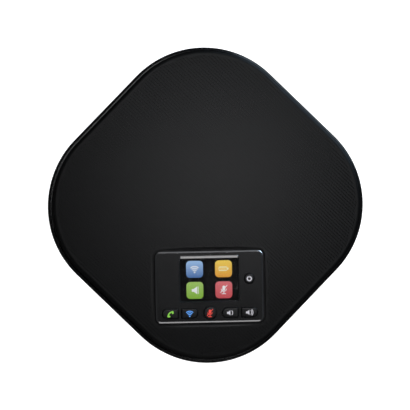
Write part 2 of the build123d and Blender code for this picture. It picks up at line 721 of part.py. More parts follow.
def board_parts():
    """Chips, inductors, capacitors and connectors on the main board."""
    low = BOARD_Z + BOARD_T
    parts = [slab(*size, 0.4, low, low + height, x, y) for size, height, (x, y) in CHIPS]
    parts += [slab(*INDUCTOR, 1.0, low, low + INDUCTOR_H, x, y) for x, y in INDUCTOR_SPOTS]
    parts += [rod(CAPACITOR_R, low, low + CAPACITOR_H, x, y) for x, y in CAPACITOR_SPOTS]
    parts.append(slab(14, 6, 0.5, low, SPEAKER_PLUG_TOP, 0, SPEAKER_PLUG_Y))
    parts.append(slab(7, 12, 0.5, low, low + 5.5, BATTERY_PLUG_X, -49))
    parts.append(slab(20, 4, 0.5, low, CONNECTOR_TOP, 0, LCD_CONNECTOR_Y))
    parts.append(slab(16, 4, 0.5, low, CONNECTOR_TOP, 0, KEYPAD_CONNECTOR_Y))
    return Compound(parts)


def shield_can():
    """Pressed screening can over the radio section."""
    low = BOARD_Z + BOARD_T
    width, height = SHIELD
    can = slab(width, height, 1.0, low, low + SHIELD_H, *SHIELD_AT)
    can = fillet(can.edges().group_by(Axis.Z)[-1], 2 * SHIELD_T)
    inner = (width - 2 * SHIELD_T, height - 2 * SHIELD_T, 1.0 - SHIELD_T)
    return can - slab(*inner, low, low + SHIELD_H - SHIELD_T, *SHIELD_AT)


def wireless_module():
    """Radio module with its own small board and lid."""
    low = BOARD_Z + BOARD_T
    x, y = RADIO_AT
    board = slab(*RADIO, 0.5, low, low + RADIO_T, x, y)
    return board + slab(*RADIO_LID, 0.5, low + RADIO_T, low + 3 * RADIO_T, x, y - 3)


def amplifier_board():
    """Power amplifier board beside the chamber, with three capacitors."""
    x, y = AMP_BOARD_AT
    top = BOARD_Z + BOARD_T
    board = slab(*AMP_BOARD, 3, BOARD_Z, top, x, y)
    for sx, sy in STANDOFFS[4:]:
        board -= rod(SMALL_SCREW_R + SMALL_SCREW_CLEAR, BOARD_Z, top, sx, sy)
    for k in (-1, 0, 1):
        board += rod(AMP_CAP_R, top, top + AMP_CAP_H, x + 13, y - 5 + 9 * k)
    return board


def amplifier_heatsink():
    """Finned block on the amplifier chip."""
    x, y = AMP_BOARD_AT
    width, length = HEATSINK
    low = BOARD_Z + BOARD_T
    left, near = x - 16, y - length / 2
    sink = box((left, near, low), (left + width, near + length, low + HEATSINK_BASE))
    gap = (width - FIN_COUNT * FIN_T) / (FIN_COUNT - 1)
    for k in range(FIN_COUNT):
        fin_x = left + k * (FIN_T + gap)
        sink += box((fin_x, near, low), (fin_x + FIN_T, near + length, low + HEATSINK_H))
    return sink


def battery_cells():
    """Two round cells lying side by side."""
    cells = []
    for x in CELL_X:
        cell = Pos(x, CELL_Y, CELL_Z) * Rot(90, 0, 0) * Cylinder(CELL_R, CELL_L)
        cells.append(fillet(cell.edges().filter_by(GeomType.CIRCLE), 0.8))
    return Compound(cells)


def battery_pads():
    """Foam strips under the cells."""
    low = UNDERSIDE_Z + FLOOR
    high = CELL_Z - CELL_R
    middle = sum(CELL_X) / 2
    return Compound([slab(*PAD, 1, low, high, middle, CELL_Y + side * PAD_SPREAD) for side in (-1, 1)])


def battery_strap():
    """Moulded strap over the cells, with an ear each side."""
    middle = sum(CELL_X) / 2
    half = (CELL_X[0] - CELL_X[1]) / 2 + CELL_R + STRAP_CLEAR
    top = CELL_Z + CELL_R + STRAP_CLEAR
    low, high = CELL_Y - STRAP_W / 2, CELL_Y + STRAP_W / 2
    strap = box((middle - half - STRAP_T, low, BOARD_Z), (middle + half + STRAP_T, high, top + STRAP_T))
    strap -= box((middle - half, low, BOARD_Z), (middle + half, high, top))
    for x, _ in STRAP_SCREWS:
        inner = middle + math.copysign(half + STRAP_T / 2, x - middle)
        outer = x + math.copysign(STANDOFF_R, x - middle)
        strap += box((min(inner, outer), low, BOARD_Z), (max(inner, outer), high, BOARD_Z + STRAP_T))
    for x, y in STRAP_SCREWS:
        strap -= rod(SMALL_SCREW_R + SMALL_SCREW_CLEAR, BOARD_Z, BOARD_Z + STRAP_T, x, y)
    return strap


def mic_boots():
    """Rubber cups round the four microphones."""
    cups = []
    top = PLATE_TOP_Z + BOOT_H
    for x, y in MIC_SPOTS:
        bore = rod(BOOT_BORE_R, PLATE_TOP_Z + BOOT_FLOOR, top, x, y)
        cups.append(rod(BOOT_R, PLATE_TOP_Z, top, x, y) - bore)
    return Compound(cups)


def mic_boards():
    """Four round boards, each with a microphone capsule."""
    boards = []
    low = PLATE_TOP_Z + BOOT_FLOOR
    for x, y in MIC_SPOTS:
        disc = rod(BOOT_BORE_R - 0.1, low, low + 1, x, y)
        boards.append(disc + slab(*CAPSULE, 0.3, low + 1, low + 2, x, y))
    return Compound(boards)


def port_board():
    """Small board behind the sockets."""
    y = PORT_FACE_Y - PORT_PLATE_T - PORT_BOARD_GAP - PORT_BOARD[1] / 2
    board = slab(*PORT_BOARD, 1, PORT_BOARD_Z, PORT_BOARD_Z + BOARD_T, 0, y)
    for x, sy in PORT_STANDOFFS:
        board -= rod(SMALL_SCREW_R + SMALL_SCREW_CLEAR, PORT_BOARD_Z, PORT_BOARD_Z + BOARD_T, x, sy)
    return board


def port_plate():
    """Plate in the socket bay."""
    half = BAY_W / 2 - 0.1
    back = PORT_FACE_Y - PORT_PLATE_T
    plate = box((-half, back, BAY_LOW_Z + 0.1), (half, PORT_FACE_Y, BAY_TOP_Z - 0.1))
    turn = Rot(-90, 0, 0)
    mouth = RectangleRounded(USB_W + USB_T, USB_H + USB_T, USB_H / 2)
    plate -= Pos(USB_X, back, USB_Z) * turn * extrude(mouth, PORT_PLATE_T)
    for x in AUDIO_X:
        plate -= Pos(x, back, AUDIO_Z) * turn * extrude(Circle(AUDIO_NOSE_R + 0.1), PORT_PLATE_T)
    return plate


def usb_socket():
    """Oval shell with a thin tongue inside."""
    turn = Rot(-90, 0, 0)
    back = Pos(USB_X, PORT_FACE_Y - USB_L, USB_Z) * turn
    shell = back * extrude(RectangleRounded(USB_W, USB_H, USB_H / 2 - 0.01), USB_L)
    mouth = RectangleRounded(USB_W - 2 * USB_T, USB_H - 2 * USB_T, USB_H / 2 - USB_T - 0.01)
    shell -= Pos(USB_X, PORT_FACE_Y - USB_L + 2, USB_Z) * turn * extrude(mouth, USB_L)
    return shell + back * extrude(Rectangle(6.6, 0.7), USB_L - 1.0)


def audio_sockets():
    """Two jack sockets: a body on the board and a round nose in the plate."""
    turn = Rot(-90, 0, 0)
    back = PORT_FACE_Y - PORT_PLATE_T
    z = PORT_BOARD_Z + BOARD_T
    sockets = []
    for x in AUDIO_X:
        body = box((x - 4, back - 13, z), (x + 4, back, z + 6))
        body += Pos(x, back, AUDIO_Z) * turn * extrude(Circle(AUDIO_NOSE_R), PORT_PLATE_T)
        bore = turn * extrude(Circle(AUDIO_BORE_R), AUDIO_BORE_L)
        sockets.append(body - Pos(x, PORT_FACE_Y - AUDIO_BORE_L, AUDIO_Z) * bore)
    return Compound(sockets)


# Values worked out from the driving dimensions

STANDOFFS = [(sx * (MAIN_BOARD[0] / 2 - 5), MAIN_BOARD_Y + sy * (MAIN_BOARD[1] / 2 - 5))
             for sx in (-1, 1) for sy in (-1, 1)]
STANDOFFS += [(AMP_BOARD_AT[0] + sx * (AMP_BOARD[0] / 2 - 5), AMP_BOARD_AT[1] + sy * (AMP_BOARD[1] / 2 - 5))
              for sx in (-1, 1) for sy in (-1, 1)]
PORT_STANDOFFS = [(-18.5, 104.5), (18.5, 104.5)]
STRAP_SCREWS = [(-52.2, 10.0), (-101.6, 10.0)]
SPEAKER_SCREWS = [(sx * 30.2, SPEAKER_Y + sy * 30.2) for sx in (-1, 1) for sy in (-1, 1)]
CHAMBER_SCREWS = [(CHAMBER_SCREW_R * math.cos(turn), SPEAKER_Y + CHAMBER_SCREW_R * math.sin(turn))
                  for turn in map(math.radians, (30, 150, 210, 330))]
PANEL_SCREWS = [(sx * 50.0, sy * 20.0) for sx in (-1, 1) for sy in (-1, 1)]
PANEL_SCREW_TIP = -TRAY_FLANGE - 4
LEAD_EXIT = Pos(0, SPEAKER_Y - CHAMBER_R, LEAD_HOLE_Z) * Rot(90, 0, 0)
BOARD_LOW = KEY_LIP_TOP - KEY_LIP_T - DOME_H - MEMBRANE_T - BOARD_T
LCD_LOW = -TRIM_DEPTH - LENS_T - 0.1 - LCD_T
KEYPAD_POSTS = [(-38, -26), (-8, -26), (22, -26), (38, -26), (38, 7)]
MOTOR_TOP = YOKE_LOW_Z + YOKE_T + MAGNET_H + TOP_PLATE_T
USB_Z = PORT_BOARD_Z + BOARD_T + USB_H / 2
SPIDER_Z = MOTOR_TOP + 2.4


def build():
    """Every sub-part, by name."""
    parts = {
        "bottom_housing": bottom_housing(),
        "trim_ring": trim_ring(),
        "top_frame": top_frame(),
        "top_grille": top_grille(),
        "grille_scrim": grille_scrim(),
        "rubber_feet": feet(),
        "base_screws": base_screws(),
        "panel_tray": panel_tray(),
        "panel_bezel": panel_bezel(),
        "panel_fascia": fascia(),
        "display_trim": display_trim(),
        "touch_lens": touch_lens(),
        "lcd_module": lcd_module(),
        "keypad_board": keypad_board(),
        "keypad_membrane": keypad_membrane(),
        "speaker_basket": speaker_basket(),
        "speaker_yoke": speaker_yoke(),
        "speaker_magnet": speaker_magnet(),
        "speaker_top_plate": speaker_top_plate(),
        "voice_coil": voice_coil(),
        "speaker_cone": speaker_cone(),
        "dust_cap": dust_cap(),
        "speaker_surround": speaker_surround(),
        "speaker_spider": speaker_spider(),
        "speaker_gasket": speaker_gasket(),
        "speaker_chamber": speaker_chamber(),
        "lead_grommet": lead_grommet(),
        "speaker_leads": speaker_leads(),
        "lcd_ribbon": lcd_ribbon(),
        "keypad_ribbon": keypad_ribbon(),
        "battery_leads": battery_leads(),
        "main_board": main_board(),
        "board_parts": board_parts(),
        "shield_can": shield_can(),
        "wireless_module": wireless_module(),
        "amplifier_board": amplifier_board(),
        "amplifier_heatsink": amplifier_heatsink(),
        "battery_cells": battery_cells(),
        "battery_pads": battery_pads(),
        "battery_strap": battery_strap(),
        "mic_boots": mic_boots(),
        "mic_boards": mic_boards(),
        "port_board": port_board(),
        "port_plate": port_plate(),
        "usb_socket": usb_socket(),
        "audio_sockets": audio_sockets(),
    }
    for name, (kind, x, y) in KEYS.items():
        parts[name] = button(kind, x, y)
    board_screw_low = BOARD_Z + BOARD_T
    parts["board_screws"] = small_screws(STANDOFFS, board_screw_low, board_screw_low - 6)
    parts["port_board_screws"] = small_screws(PORT_STANDOFFS, PORT_BOARD_Z + BOARD_T, PORT_BOARD_Z - 4)
    parts["strap_screws"] = small_screws(STRAP_SCREWS, BOARD_Z + STRAP_T, BOARD_Z - 4)
    parts["speaker_screws"] = small_screws(SPEAKER_SCREWS, PLATE_TOP_Z + FLANGE_T, PLATE_LOW_Z)
    parts["chamber_screws"] = small_screws(CHAMBER_SCREWS, PLATE_LOW_Z - CHAMBER_RIM_T, PLATE_TOP_Z)
    parts["panel_screws"] = small_screws(PANEL_SCREWS, -BEZEL_DEPTH, PANEL_SCREW_TIP, PANEL)
    return parts


os.makedirs("parts", exist_ok=True)
for node, shape in build().items():
    export_step(shape, f"parts/{node}.step")
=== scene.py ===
import bmesh
import bpy
import json
import math
from mathutils import Matrix, Vector, geometry


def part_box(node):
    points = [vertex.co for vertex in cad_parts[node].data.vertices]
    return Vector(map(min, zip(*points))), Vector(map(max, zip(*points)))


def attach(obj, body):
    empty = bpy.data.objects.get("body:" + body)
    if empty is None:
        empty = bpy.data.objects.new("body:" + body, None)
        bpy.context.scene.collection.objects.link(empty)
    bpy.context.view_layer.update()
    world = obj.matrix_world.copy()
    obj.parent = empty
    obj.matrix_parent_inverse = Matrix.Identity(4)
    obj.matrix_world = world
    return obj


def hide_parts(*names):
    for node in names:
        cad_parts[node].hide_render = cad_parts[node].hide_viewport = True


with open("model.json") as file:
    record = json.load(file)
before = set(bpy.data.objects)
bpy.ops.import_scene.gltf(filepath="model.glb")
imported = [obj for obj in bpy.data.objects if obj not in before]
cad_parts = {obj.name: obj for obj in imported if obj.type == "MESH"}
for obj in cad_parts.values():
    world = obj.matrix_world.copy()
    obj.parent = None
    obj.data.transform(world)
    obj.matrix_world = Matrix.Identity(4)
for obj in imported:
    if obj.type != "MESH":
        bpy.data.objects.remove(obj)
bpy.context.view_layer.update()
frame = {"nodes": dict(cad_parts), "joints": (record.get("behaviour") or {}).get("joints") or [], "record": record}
nodes = frame["nodes"]
MM = 0.001
ROOT2 = math.sqrt(2)

# Sizes that the frame's boxes don't give, in metres

# Grille
CORNER_R = 80 * MM  # plan radius of the case's corners
DOME_R = 1400 * MM  # ball that the grille's crown is cut from
GRILLE_T = 1.0 * MM
ROLL_R = 3.0 * MM  # rolled edge of the grille
ROLL_STEPS = 14
ROLL_COLLAR = 0.04 * MM  # ring just inside the roll, which keeps the crown's shading even
BORDER = 3.2 * MM  # plain width inside the grille's edge
CUTOUT_GAP = 2.0 * MM  # between the bezel and the grille
CUTOUT_R = 6.8 * MM
CUTOUT_BORDER = 0.4 * MM  # plain width round the cut-out
LIP_DEPTH = 3.0 * MM  # turned-down edge of the cut-out

# Slots
ROW_STEP = 2.32 * MM  # between rows
SLOT_HALF_L = 1.1 * MM
SLOT_SHOULDER = 0.8 * MM  # where the pointed ends start
SLOT_HALF_W = 0.34 * MM
SLOT_DEPTH = 0.7 * MM

# Ring: its lip's profile as distance in from the outside and drop from the top, in millimetres
RING_GAP = 1.05 * MM  # groove between the ring's lip and the grille
RING_BORE = 4.3 * MM  # from the ring's outside to its bore
LIP_PROFILE = [(0.0, 2.3), (0.06, 1.9), (0.3, 1.38), (0.8, 0.84), (1.45, 0.38)]

# Panel: the bezel's profile as distance in from the outside and height, in millimetres
BEZEL_R = 4.8 * MM
BEZEL_W = 1.5
BEZEL_PROFILE = [(0.0, -0.7), (0.06, -0.6), (0.18, -0.52), (1.36, -0.02), (1.44, 0.0), (BEZEL_W, -0.06)]
TRIM_R = 2.0 * MM
TRIM_PROFILE = [(0.0, 1.0), (0.0, 0.08), (0.05, 0.0), (0.1, 0.03), (0.9, 0.78), (1.0, 0.92), (1.0, 1.0)]  # shares
WINDOW_R = 1.2 * MM
WINDOW_MARGIN = Vector((3.2, 3.2, 0)) * MM  # of the display module outside its window

# Keys
KEY_CORNER_R = 1.2 * MM
KEY_LIP = 0.7 * MM
KEY_LIP_T = 1.0 * MM
KEY_EDGE = 1.1 * MM  # width and height of a key's pillowed edge
KEY_EDGE_H = 0.62 * MM
KEY_EDGE_STEPS = 8
CAP_SINK = 0.04 * MM  # of a cap's top under the CAD key's, which leaves room for its symbol
SYMBOL_T = 0.02 * MM

# Display tiles, in millimetres
TILE = 14.1
TILE_R = 3.2
TILE_X, TILE_Y = 12.1, 8.8  # from the display's middle to a tile's


# The frame's own measures


def panel_frame():
    """Matrix of the control panel: x along the keys, y away from the user, z out of the fascia's face."""
    press = next(j for j in frame["joints"] if j["name"] == "mute_press")
    up = -Vector(press["axis"]).normalized()
    along = Vector((1, 0, 0))
    away = up.cross(along)
    turn = Matrix((along, away, up))
    points = [turn @ v.co for v in nodes["panel_bezel"].data.vertices]
    low = [min(p[i] for p in points) for i in range(3)]
    high = [max(p[i] for p in points) for i in range(3)]
    middle = Vector(((low[0] + high[0]) / 2, (low[1] + high[1]) / 2, high[2]))
    size = Vector(high) - Vector(low)
    return Matrix.Translation(turn.transposed() @ middle) @ turn.transposed().to_4x4(), size


PANEL, PANEL_SIZE = panel_frame()
TO_PANEL = PANEL.inverted()


def panel_box(node):
    """A node's lowest and highest corners in the panel's frame."""
    points = [TO_PANEL @ v.co for v in nodes[node].data.vertices]
    low = Vector([min(p[i] for p in points) for i in range(3)])
    return low, Vector([max(p[i] for p in points) for i in range(3)])


# Mesh helpers


def make_object(name, verts, faces, material, sharp_deg=40):
    """Mesh object with smooth faces and sharp edges above an angle."""
    mesh = bpy.data.meshes.new(name)
    mesh.from_pydata([tuple(v) for v in verts], [], faces)
    mesh.polygons.foreach_set("use_smooth", [True] * len(mesh.polygons))
    mesh.set_sharp_from_angle(angle=math.radians(sharp_deg))
    mesh.materials.append(material)
    piece = bpy.data.objects.new(name, mesh)
    bpy.context.scene.collection.objects.link(piece)
    return piece


def union(solids, holes=()):
    """Triangles over everything inside any solid loop and outside every hole loop, in 2D."""
    points, loops = [], []
    for loop in [*solids, *holes]:
        turned = [Vector(p) for p in loop]
        if sum(a.cross(b) for a, b in zip(turned, turned[1:] + turned[:1])) < 0:
            turned.reverse()
        loops.append(list(range(len(points), len(points) + len(turned))))
        points += turned
    verts, _, faces, _, _, origins = geometry.delaunay_2d_cdt(points, [], loops, 0, 1e-9)
    kept = []
    for face, origin in zip(faces, origins):
        inside = [i < len(solids) for i in origin]
        if inside and all(inside):
            kept.append(face)
    return verts, kept


def boundary(faces):
    """Directed edges that only one face has."""
    edges = set()
    for face in faces:
        for a, b in zip(face, [*face[1:], face[0]]):
            if (b, a) in edges:
                edges.discard((b, a))
            else:
                edges.add((a, b))
    return sorted(edges)


def plate(name, solids, low, high, material, place=Matrix(), holes=()):
    """Flat piece of the joined loops, between two heights in its own frame. Loops are in millimetres."""
    flat, faces = union(solids, holes)
    used = sorted({i for face in faces for i in face})
    index = {old: new for new, old in enumerate(used)}
    faces = [tuple(index[i] for i in face) for face in faces]
    plan = [flat[i] * MM for i in used]
    count = len(plan)
    verts = [place @ Vector((p.x, p.y, high)) for p in plan] + [place @ Vector((p.x, p.y, low)) for p in plan]
    sides = [(a, a + count, b + count, b) for a, b in boundary(faces)]
    under = [tuple(i + count for i in reversed(face)) for face in faces]
    return make_object(name, verts, faces + under + sides, material)


def arc(x, y, radius, start, end, steps):
    """Points on an arc, in degrees."""
    turn = [math.radians(start + (end - start) * k / steps) for k in range(steps + 1)]
    return [(x + radius * math.cos(t), y + radius * math.sin(t)) for t in turn]


def ring_loop(x, y, radius, steps=40):
    """Closed circle."""
    return arc(x, y, radius, 0, 360, steps)[:-1]


def rounded_box(width, height, radius, x=0.0, y=0.0, steps=8):
    """Closed rectangle with round corners, anticlockwise."""
    w, h = width / 2 - radius, height / 2 - radius
    loop = []
    for cx, cy, start in ((w, h, 0), (-w, h, 90), (-w, -h, 180), (w, -h, 270)):
        loop += arc(x + cx, y + cy, radius, start, start + 90, steps)
    return loop


def stroke(points, width):
    """Outline of a line of that width with round ends."""
    left, right = [], []
    half = width / 2
    for k, (x, y) in enumerate(points):
        ax, ay = points[max(k - 1, 0)]
        bx, by = points[min(k + 1, len(points) - 1)]
        length = math.hypot(bx - ax, by - ay)
        nx, ny = -(by - ay) / length, (bx - ax) / length
        left.append((x + nx * half, y + ny * half))
        right.append((x - nx * half, y - ny * half))
    ex, ey = points[-1]
    sx, sy = points[0]
    end = math.degrees(math.atan2(left[-1][1] - ey, left[-1][0] - ex))
    start = math.degrees(math.atan2(right[0][1] - sy, right[0][0] - sx))
    far_cap = arc(ex, ey, half, end, end - 180, 6)[1:-1]
    near_cap = arc(sx, sy, half, start, start - 180, 6)[1:-1]
    return left + far_cap + right[::-1] + near_cap


def moved(loops, x=0.0, y=0.0, scale=1.0):
    """Loops scaled, then moved."""
    return [[(x + scale * px, y + scale * py) for px, py in loop] for loop in loops]


# Materials


class Paint:
    """A Principled material and the texture nodes that feed it, all in the object's own coordinates."""

    def __init__(self, name, colour, roughness, **sockets):
        self.material = bpy.data.materials.new(name)
        self.material.use_nodes = True
        self.tree = self.material.node_tree
        self.shader = self.tree.nodes["Principled BSDF"]
        self.shader.inputs["Base Color"].default_value = (*colour, 1)
        self.shader.inputs["Roughness"].default_value = roughness
        for socket, value in sockets.items():
            self.shader.inputs[socket.replace("_", " ")].default_value = value
        self.place = self.add("ShaderNodeTexCoord").outputs["Object"]
        self.colour = colour
        self.height = None

    def add(self, kind, **inputs):
        node = self.tree.nodes.new(kind)
        for socket, value in inputs.items():
            self.feed(node, socket.replace("_", " "), value)
        return node

    def feed(self, node, socket, value):
        if isinstance(value, bpy.types.NodeSocket):
            self.tree.links.new(value, node.inputs[socket])
        else:
            node.inputs[socket].default_value = value

    def stretched(self, x, y, z):
        """The object's coordinates, scaled along each axis."""
        return self.add("ShaderNodeMapping", Vector=self.place, Scale=(x, y, z)).outputs[0]

    def noise(self, size, detail=3.0, rough=0.55, place=None):
        """Noise from 0 to 1 with features of about that size in metres."""
        node = self.add("ShaderNodeTexNoise", Scale=1 / size, Detail=detail, Roughness=rough)
        self.tree.links.new(place or self.place, node.inputs["Vector"])
        return node.outputs["Fac"]

    def cells(self, size, feature="F1", randomness=1.0, place=None):
        """Distance to the nearest of scattered points, in units of size."""
        node = self.add("ShaderNodeTexVoronoi", Scale=1 / size, Randomness=randomness)
        node.feature = feature
        self.tree.links.new(place or self.place, node.inputs["Vector"])
        return node.outputs["Distance"]

    def wave(self, size, axis, place=None):
        """Smooth ridges across an axis, one each size metres."""
        node = self.add("ShaderNodeTexWave", Scale=1 / size / 20 * math.tau)
        node.bands_direction = axis
        self.tree.links.new(place or self.place, node.inputs["Vector"])
        return node.outputs["Fac"]

    def maths(self, operation, a, b=0.0):
        node = self.add("ShaderNodeMath")
        node.operation = operation
        self.feed(node, 0, a)
        self.feed(node, 1, b)
        return node.outputs[0]

    def spread(self, value, low, high, start=0.3, end=0.7):
        """Value from start to end mapped to low to high."""
        node = self.add("ShaderNodeMapRange", Value=value)
        for socket, number in zip((1, 2, 3, 4), (start, end, low, high)):
            node.inputs[socket].default_value = number
        return node.outputs[0]

    def mix(self, fac, first, second):
        """Colour between two, each a colour or a socket."""
        node = self.add("ShaderNodeMix")
        node.data_type = "RGBA"
        self.feed(node, 0, fac)
        for socket, value in ((6, first), (7, second)):
            self.feed(node, socket, value if isinstance(value, bpy.types.NodeSocket) else (*value, 1))
        return node.outputs[2]

    def tone(self, fac, spread):
        """Base colour lighter and darker by a share, along fac."""
        low = [c * (1 - spread) for c in self.colour]
        high = [c * (1 + spread) for c in self.colour]
        self.tree.links.new(self.mix(fac, low, high), self.shader.inputs["Base Color"])
        return self

    def paint(self, colour):
        self.tree.links.new(colour, self.shader.inputs["Base Color"])
        return self

    def rough(self, value, low, high):
        self.tree.links.new(self.spread(value, low, high), self.shader.inputs["Roughness"])
        return self

    def bump(self, height, depth, strength=1.0):
        """Relief of that depth in metres; a second call adds to the first."""
        node = self.add("ShaderNodeBump", Strength=strength, Distance=depth, Height=height)
        if self.height:
            self.tree.links.new(self.height, node.inputs["Normal"])
        self.height = node.outputs[0]
        self.tree.links.new(self.height, self.shader.inputs["Normal"])
        return self


def case_plastic():
    """Black moulded case with a spark-eroded texture."""
    p = Paint("case_plastic", (0.018, 0.018, 0.019), 0.5, Specular_IOR_Level=0.5)
    p.tone(p.noise(0.012), 0.18)
    p.rough(p.noise(0.004), 0.44, 0.56)
    return p.bump(p.cells(0.0007), 0.00006).bump(p.noise(0.0003), 0.00003).material


def ring_plastic():
    """Satin ring."""
    p = Paint("ring_plastic", (0.003, 0.003, 0.0033), 0.26, Specular_IOR_Level=0.38)
    p.tone(p.noise(0.02), 0.12)
    p.rough(p.noise(0.006), 0.22, 0.3)
    return p.bump(p.noise(0.0004), 0.00002).material


def grille_steel():
    """Matt powder coat on perforated steel."""
    p = Paint("grille_steel", (0.0015, 0.0015, 0.0016), 0.38, Specular_IOR_Level=0.2)
    p.tone(p.noise(0.0012), 0.2)
    p.rough(p.noise(0.0009), 0.36, 0.4)
    return p.bump(p.noise(0.0005, 4), 0.00001).material


def scrim_cloth():
    """Black acoustic cloth of fine woven threads."""
    p = Paint("scrim_cloth", (0.001, 0.001, 0.001), 0.8, Specular_IOR_Level=0.05)
    warp = p.wave(0.0005, "X")
    weft = p.wave(0.0005, "Y")
    weave = p.maths("MULTIPLY", warp, weft)
    p.tone(weave, 0.4)
    return p.bump(weave, 0.0001).material


def rubber():
    """Matt black rubber with dust in its texture."""
    p = Paint("rubber", (0.014, 0.014, 0.014), 0.75, Specular_IOR_Level=0.3)
    p.tone(p.noise(0.003, 5), 0.35)
    p.rough(p.noise(0.002), 0.68, 0.85)
    return p.bump(p.noise(0.0006), 0.00005).material


def silicone():
    """Milky grey silicone."""
    p = Paint("silicone", (0.42, 0.43, 0.44), 0.45, Subsurface_Weight=0.15)
    p.tone(p.noise(0.004), 0.06)
    return p.bump(p.noise(0.0008), 0.00002).material


def foam():
    """Open-cell charcoal foam."""
    p = Paint("foam", (0.03, 0.03, 0.032), 0.95)
    pores = p.cells(0.0009)
    p.tone(pores, 0.6)
    return p.bump(pores, 0.0004).material


def screw_steel():
    """Black zinc with turned heads and bright wear."""
    p = Paint("screw_steel", (0.09, 0.09, 0.095), 0.35, Metallic=1.0)
    p.tone(p.noise(0.0012, 5), 0.4)
    p.rough(p.noise(0.0006), 0.25, 0.45)
    return p.bump(p.noise(0.0003), 0.00002).material


def bezel_metal():
    """Bright satin aluminium with faint wear."""
    p = Paint("bezel_metal", (0.74, 0.73, 0.74), 0.2, Metallic=1.0)
    wear = p.noise(0.006, 2)
    p.tone(wear, 0.05)
    p.rough(wear, 0.18, 0.23)
    return p.bump(p.noise(0.0012, 1), 0.0000015).material


def painted_shade_metal():
    """Dark metal for the sides of the display frame: a darkened copy of the frame's bright metal, painted shade
    where those sides catch little light.
    """
    p = Paint("painted_shade_metal", (0.035, 0.038, 0.042), 0.3, Metallic=0.8)
    p.tone(p.noise(0.002), 0.15)
    return p.bump(p.noise(0.0006), 0.00001).material


def fascia_gloss():
    """Gloss black plate with a faint haze of handling."""
    p = Paint("fascia_gloss", (0.0022, 0.0022, 0.0024), 0.24, Specular_IOR_Level=0.18)
    smudge = p.noise(0.018, 5)
    p.tone(smudge, 0.15)
    p.rough(smudge, 0.22, 0.27)
    return p.bump(p.noise(0.01, 2), 0.00001).material


def lens_glass():
    """Clear touch glass."""
    p = Paint("lens_glass", (1.0, 1.0, 1.0), 0.02, Transmission_Weight=1.0, IOR=1.45)
    p.rough(p.noise(0.02, 5), 0.01, 0.05)
    return p.material


def display_cell():
    """Unlit black of a lit colour display, with its fine grid of picture cells."""
    p = Paint("display_cell", (0.002, 0.002, 0.002), 0.35, Emission_Strength=1.0, Specular_IOR_Level=0.05)
    rows = p.wave(0.0003, "Y")
    columns = p.wave(0.0003, "X")
    grid = p.maths("MULTIPLY", rows, columns)
    glow = p.mix(grid, (0.0022, 0.0022, 0.0024), (0.0045, 0.0045, 0.005))
    p.tree.links.new(glow, p.shader.inputs["Emission Color"])
    return p.material


def key_plastic():
    """Semi-gloss black key caps."""
    p = Paint("key_plastic", (0.0016, 0.0016, 0.0018), 0.3, Specular_IOR_Level=0.22)
    p.tone(p.noise(0.004), 0.2)
    p.rough(p.noise(0.003, 4), 0.26, 0.34)
    return p.bump(p.noise(0.0005), 0.00001).material


def circuit_board():
    """Green solder resist over copper tracks."""
    p = Paint("circuit_board", (0.008, 0.07, 0.03), 0.32, Coat_Weight=0.4)
    tracks = p.cells(0.004, "DISTANCE_TO_EDGE", 0.6)
    copper = p.spread(tracks, 1.0, 0.0, 0.04, 0.08)
    p.paint(p.mix(copper, (0.006, 0.06, 0.025), (0.02, 0.13, 0.05)))
    return p.bump(copper, 0.00004).material


def shield_tin():
    """Tinned sheet with a dull bloom."""
    p = Paint("shield_tin", (0.62, 0.62, 0.6), 0.34, Metallic=1.0)
    p.tone(p.noise(0.003, 5), 0.12)
    p.rough(p.noise(0.0015, 4), 0.25, 0.45)
    return p.bump(p.noise(0.0008), 0.00002).material


def heatsink_alloy():
    """Extruded alloy with draw lines."""
    p = Paint("heatsink_alloy", (0.5, 0.5, 0.52), 0.4, Metallic=1.0)
    lines = p.noise(0.001, 4, place=p.stretched(1, 0.03, 1))
    p.tone(lines, 0.12)
    return p.rough(lines, 0.32, 0.5).bump(lines, 0.00003).material


def basket_steel():
    """Zinc-plated pressed steel."""
    p = Paint("basket_steel", (0.36, 0.36, 0.35), 0.42, Metallic=1.0)
    p.tone(p.cells(0.004), 0.15)
    p.rough(p.noise(0.003), 0.35, 0.5)
    return p.bump(p.noise(0.001), 0.00002).material


def magnet_ferrite():
    """Dark sintered ferrite."""
    p = Paint("magnet_ferrite", (0.03, 0.03, 0.032), 0.6, Metallic=0.4)
    p.tone(p.noise(0.0008, 5), 0.4)
    return p.bump(p.noise(0.0006, 5), 0.0001).material


def cone_paper():
    """Pressed black pulp with fibres."""
    p = Paint("cone_paper", (0.02, 0.02, 0.02), 0.85)
    fibres = p.noise(0.0025, 6, place=p.stretched(1, 3, 1))
    p.tone(fibres, 0.5)
    return p.bump(fibres, 0.0002).material


def spider_cloth():
    """Ochre resin-treated cloth."""
    p = Paint("spider_cloth", (0.42, 0.26, 0.09), 0.8)
    weave = p.maths("MULTIPLY", p.wave(0.0006, "X"), p.wave(0.0006, "Y"))
    p.tone(weave, 0.35)
    return p.bump(weave, 0.00015).material


def lead_pvc():
    """Red insulated wire."""
    p = Paint("lead_pvc", (0.35, 0.02, 0.02), 0.4)
    p.tone(p.noise(0.003), 0.15)
    return p.bump(p.noise(0.001), 0.00003).material


def flex_film():
    """Amber film with copper lines along its length."""
    p = Paint("flex_film", (0.45, 0.2, 0.03), 0.3)
    lines = p.wave(0.001, "X")
    p.paint(p.mix(lines, (0.5, 0.22, 0.03), (0.28, 0.1, 0.015)))
    return p.bump(lines, 0.00003).material


def cell_wrap():
    """Blue shrink sleeve, slightly wrinkled."""
    p = Paint("cell_wrap", (0.02, 0.1, 0.3), 0.25, Coat_Weight=0.3)
    p.tone(p.noise(0.01), 0.12)
    return p.bump(p.noise(0.004, 4), 0.0001).material


def jack_plastic():
    """Moulded black socket bodies."""
    p = Paint("jack_plastic", (0.01, 0.01, 0.01), 0.4)
    p.tone(p.noise(0.002), 0.2)
    return p.bump(p.noise(0.0005), 0.00002).material


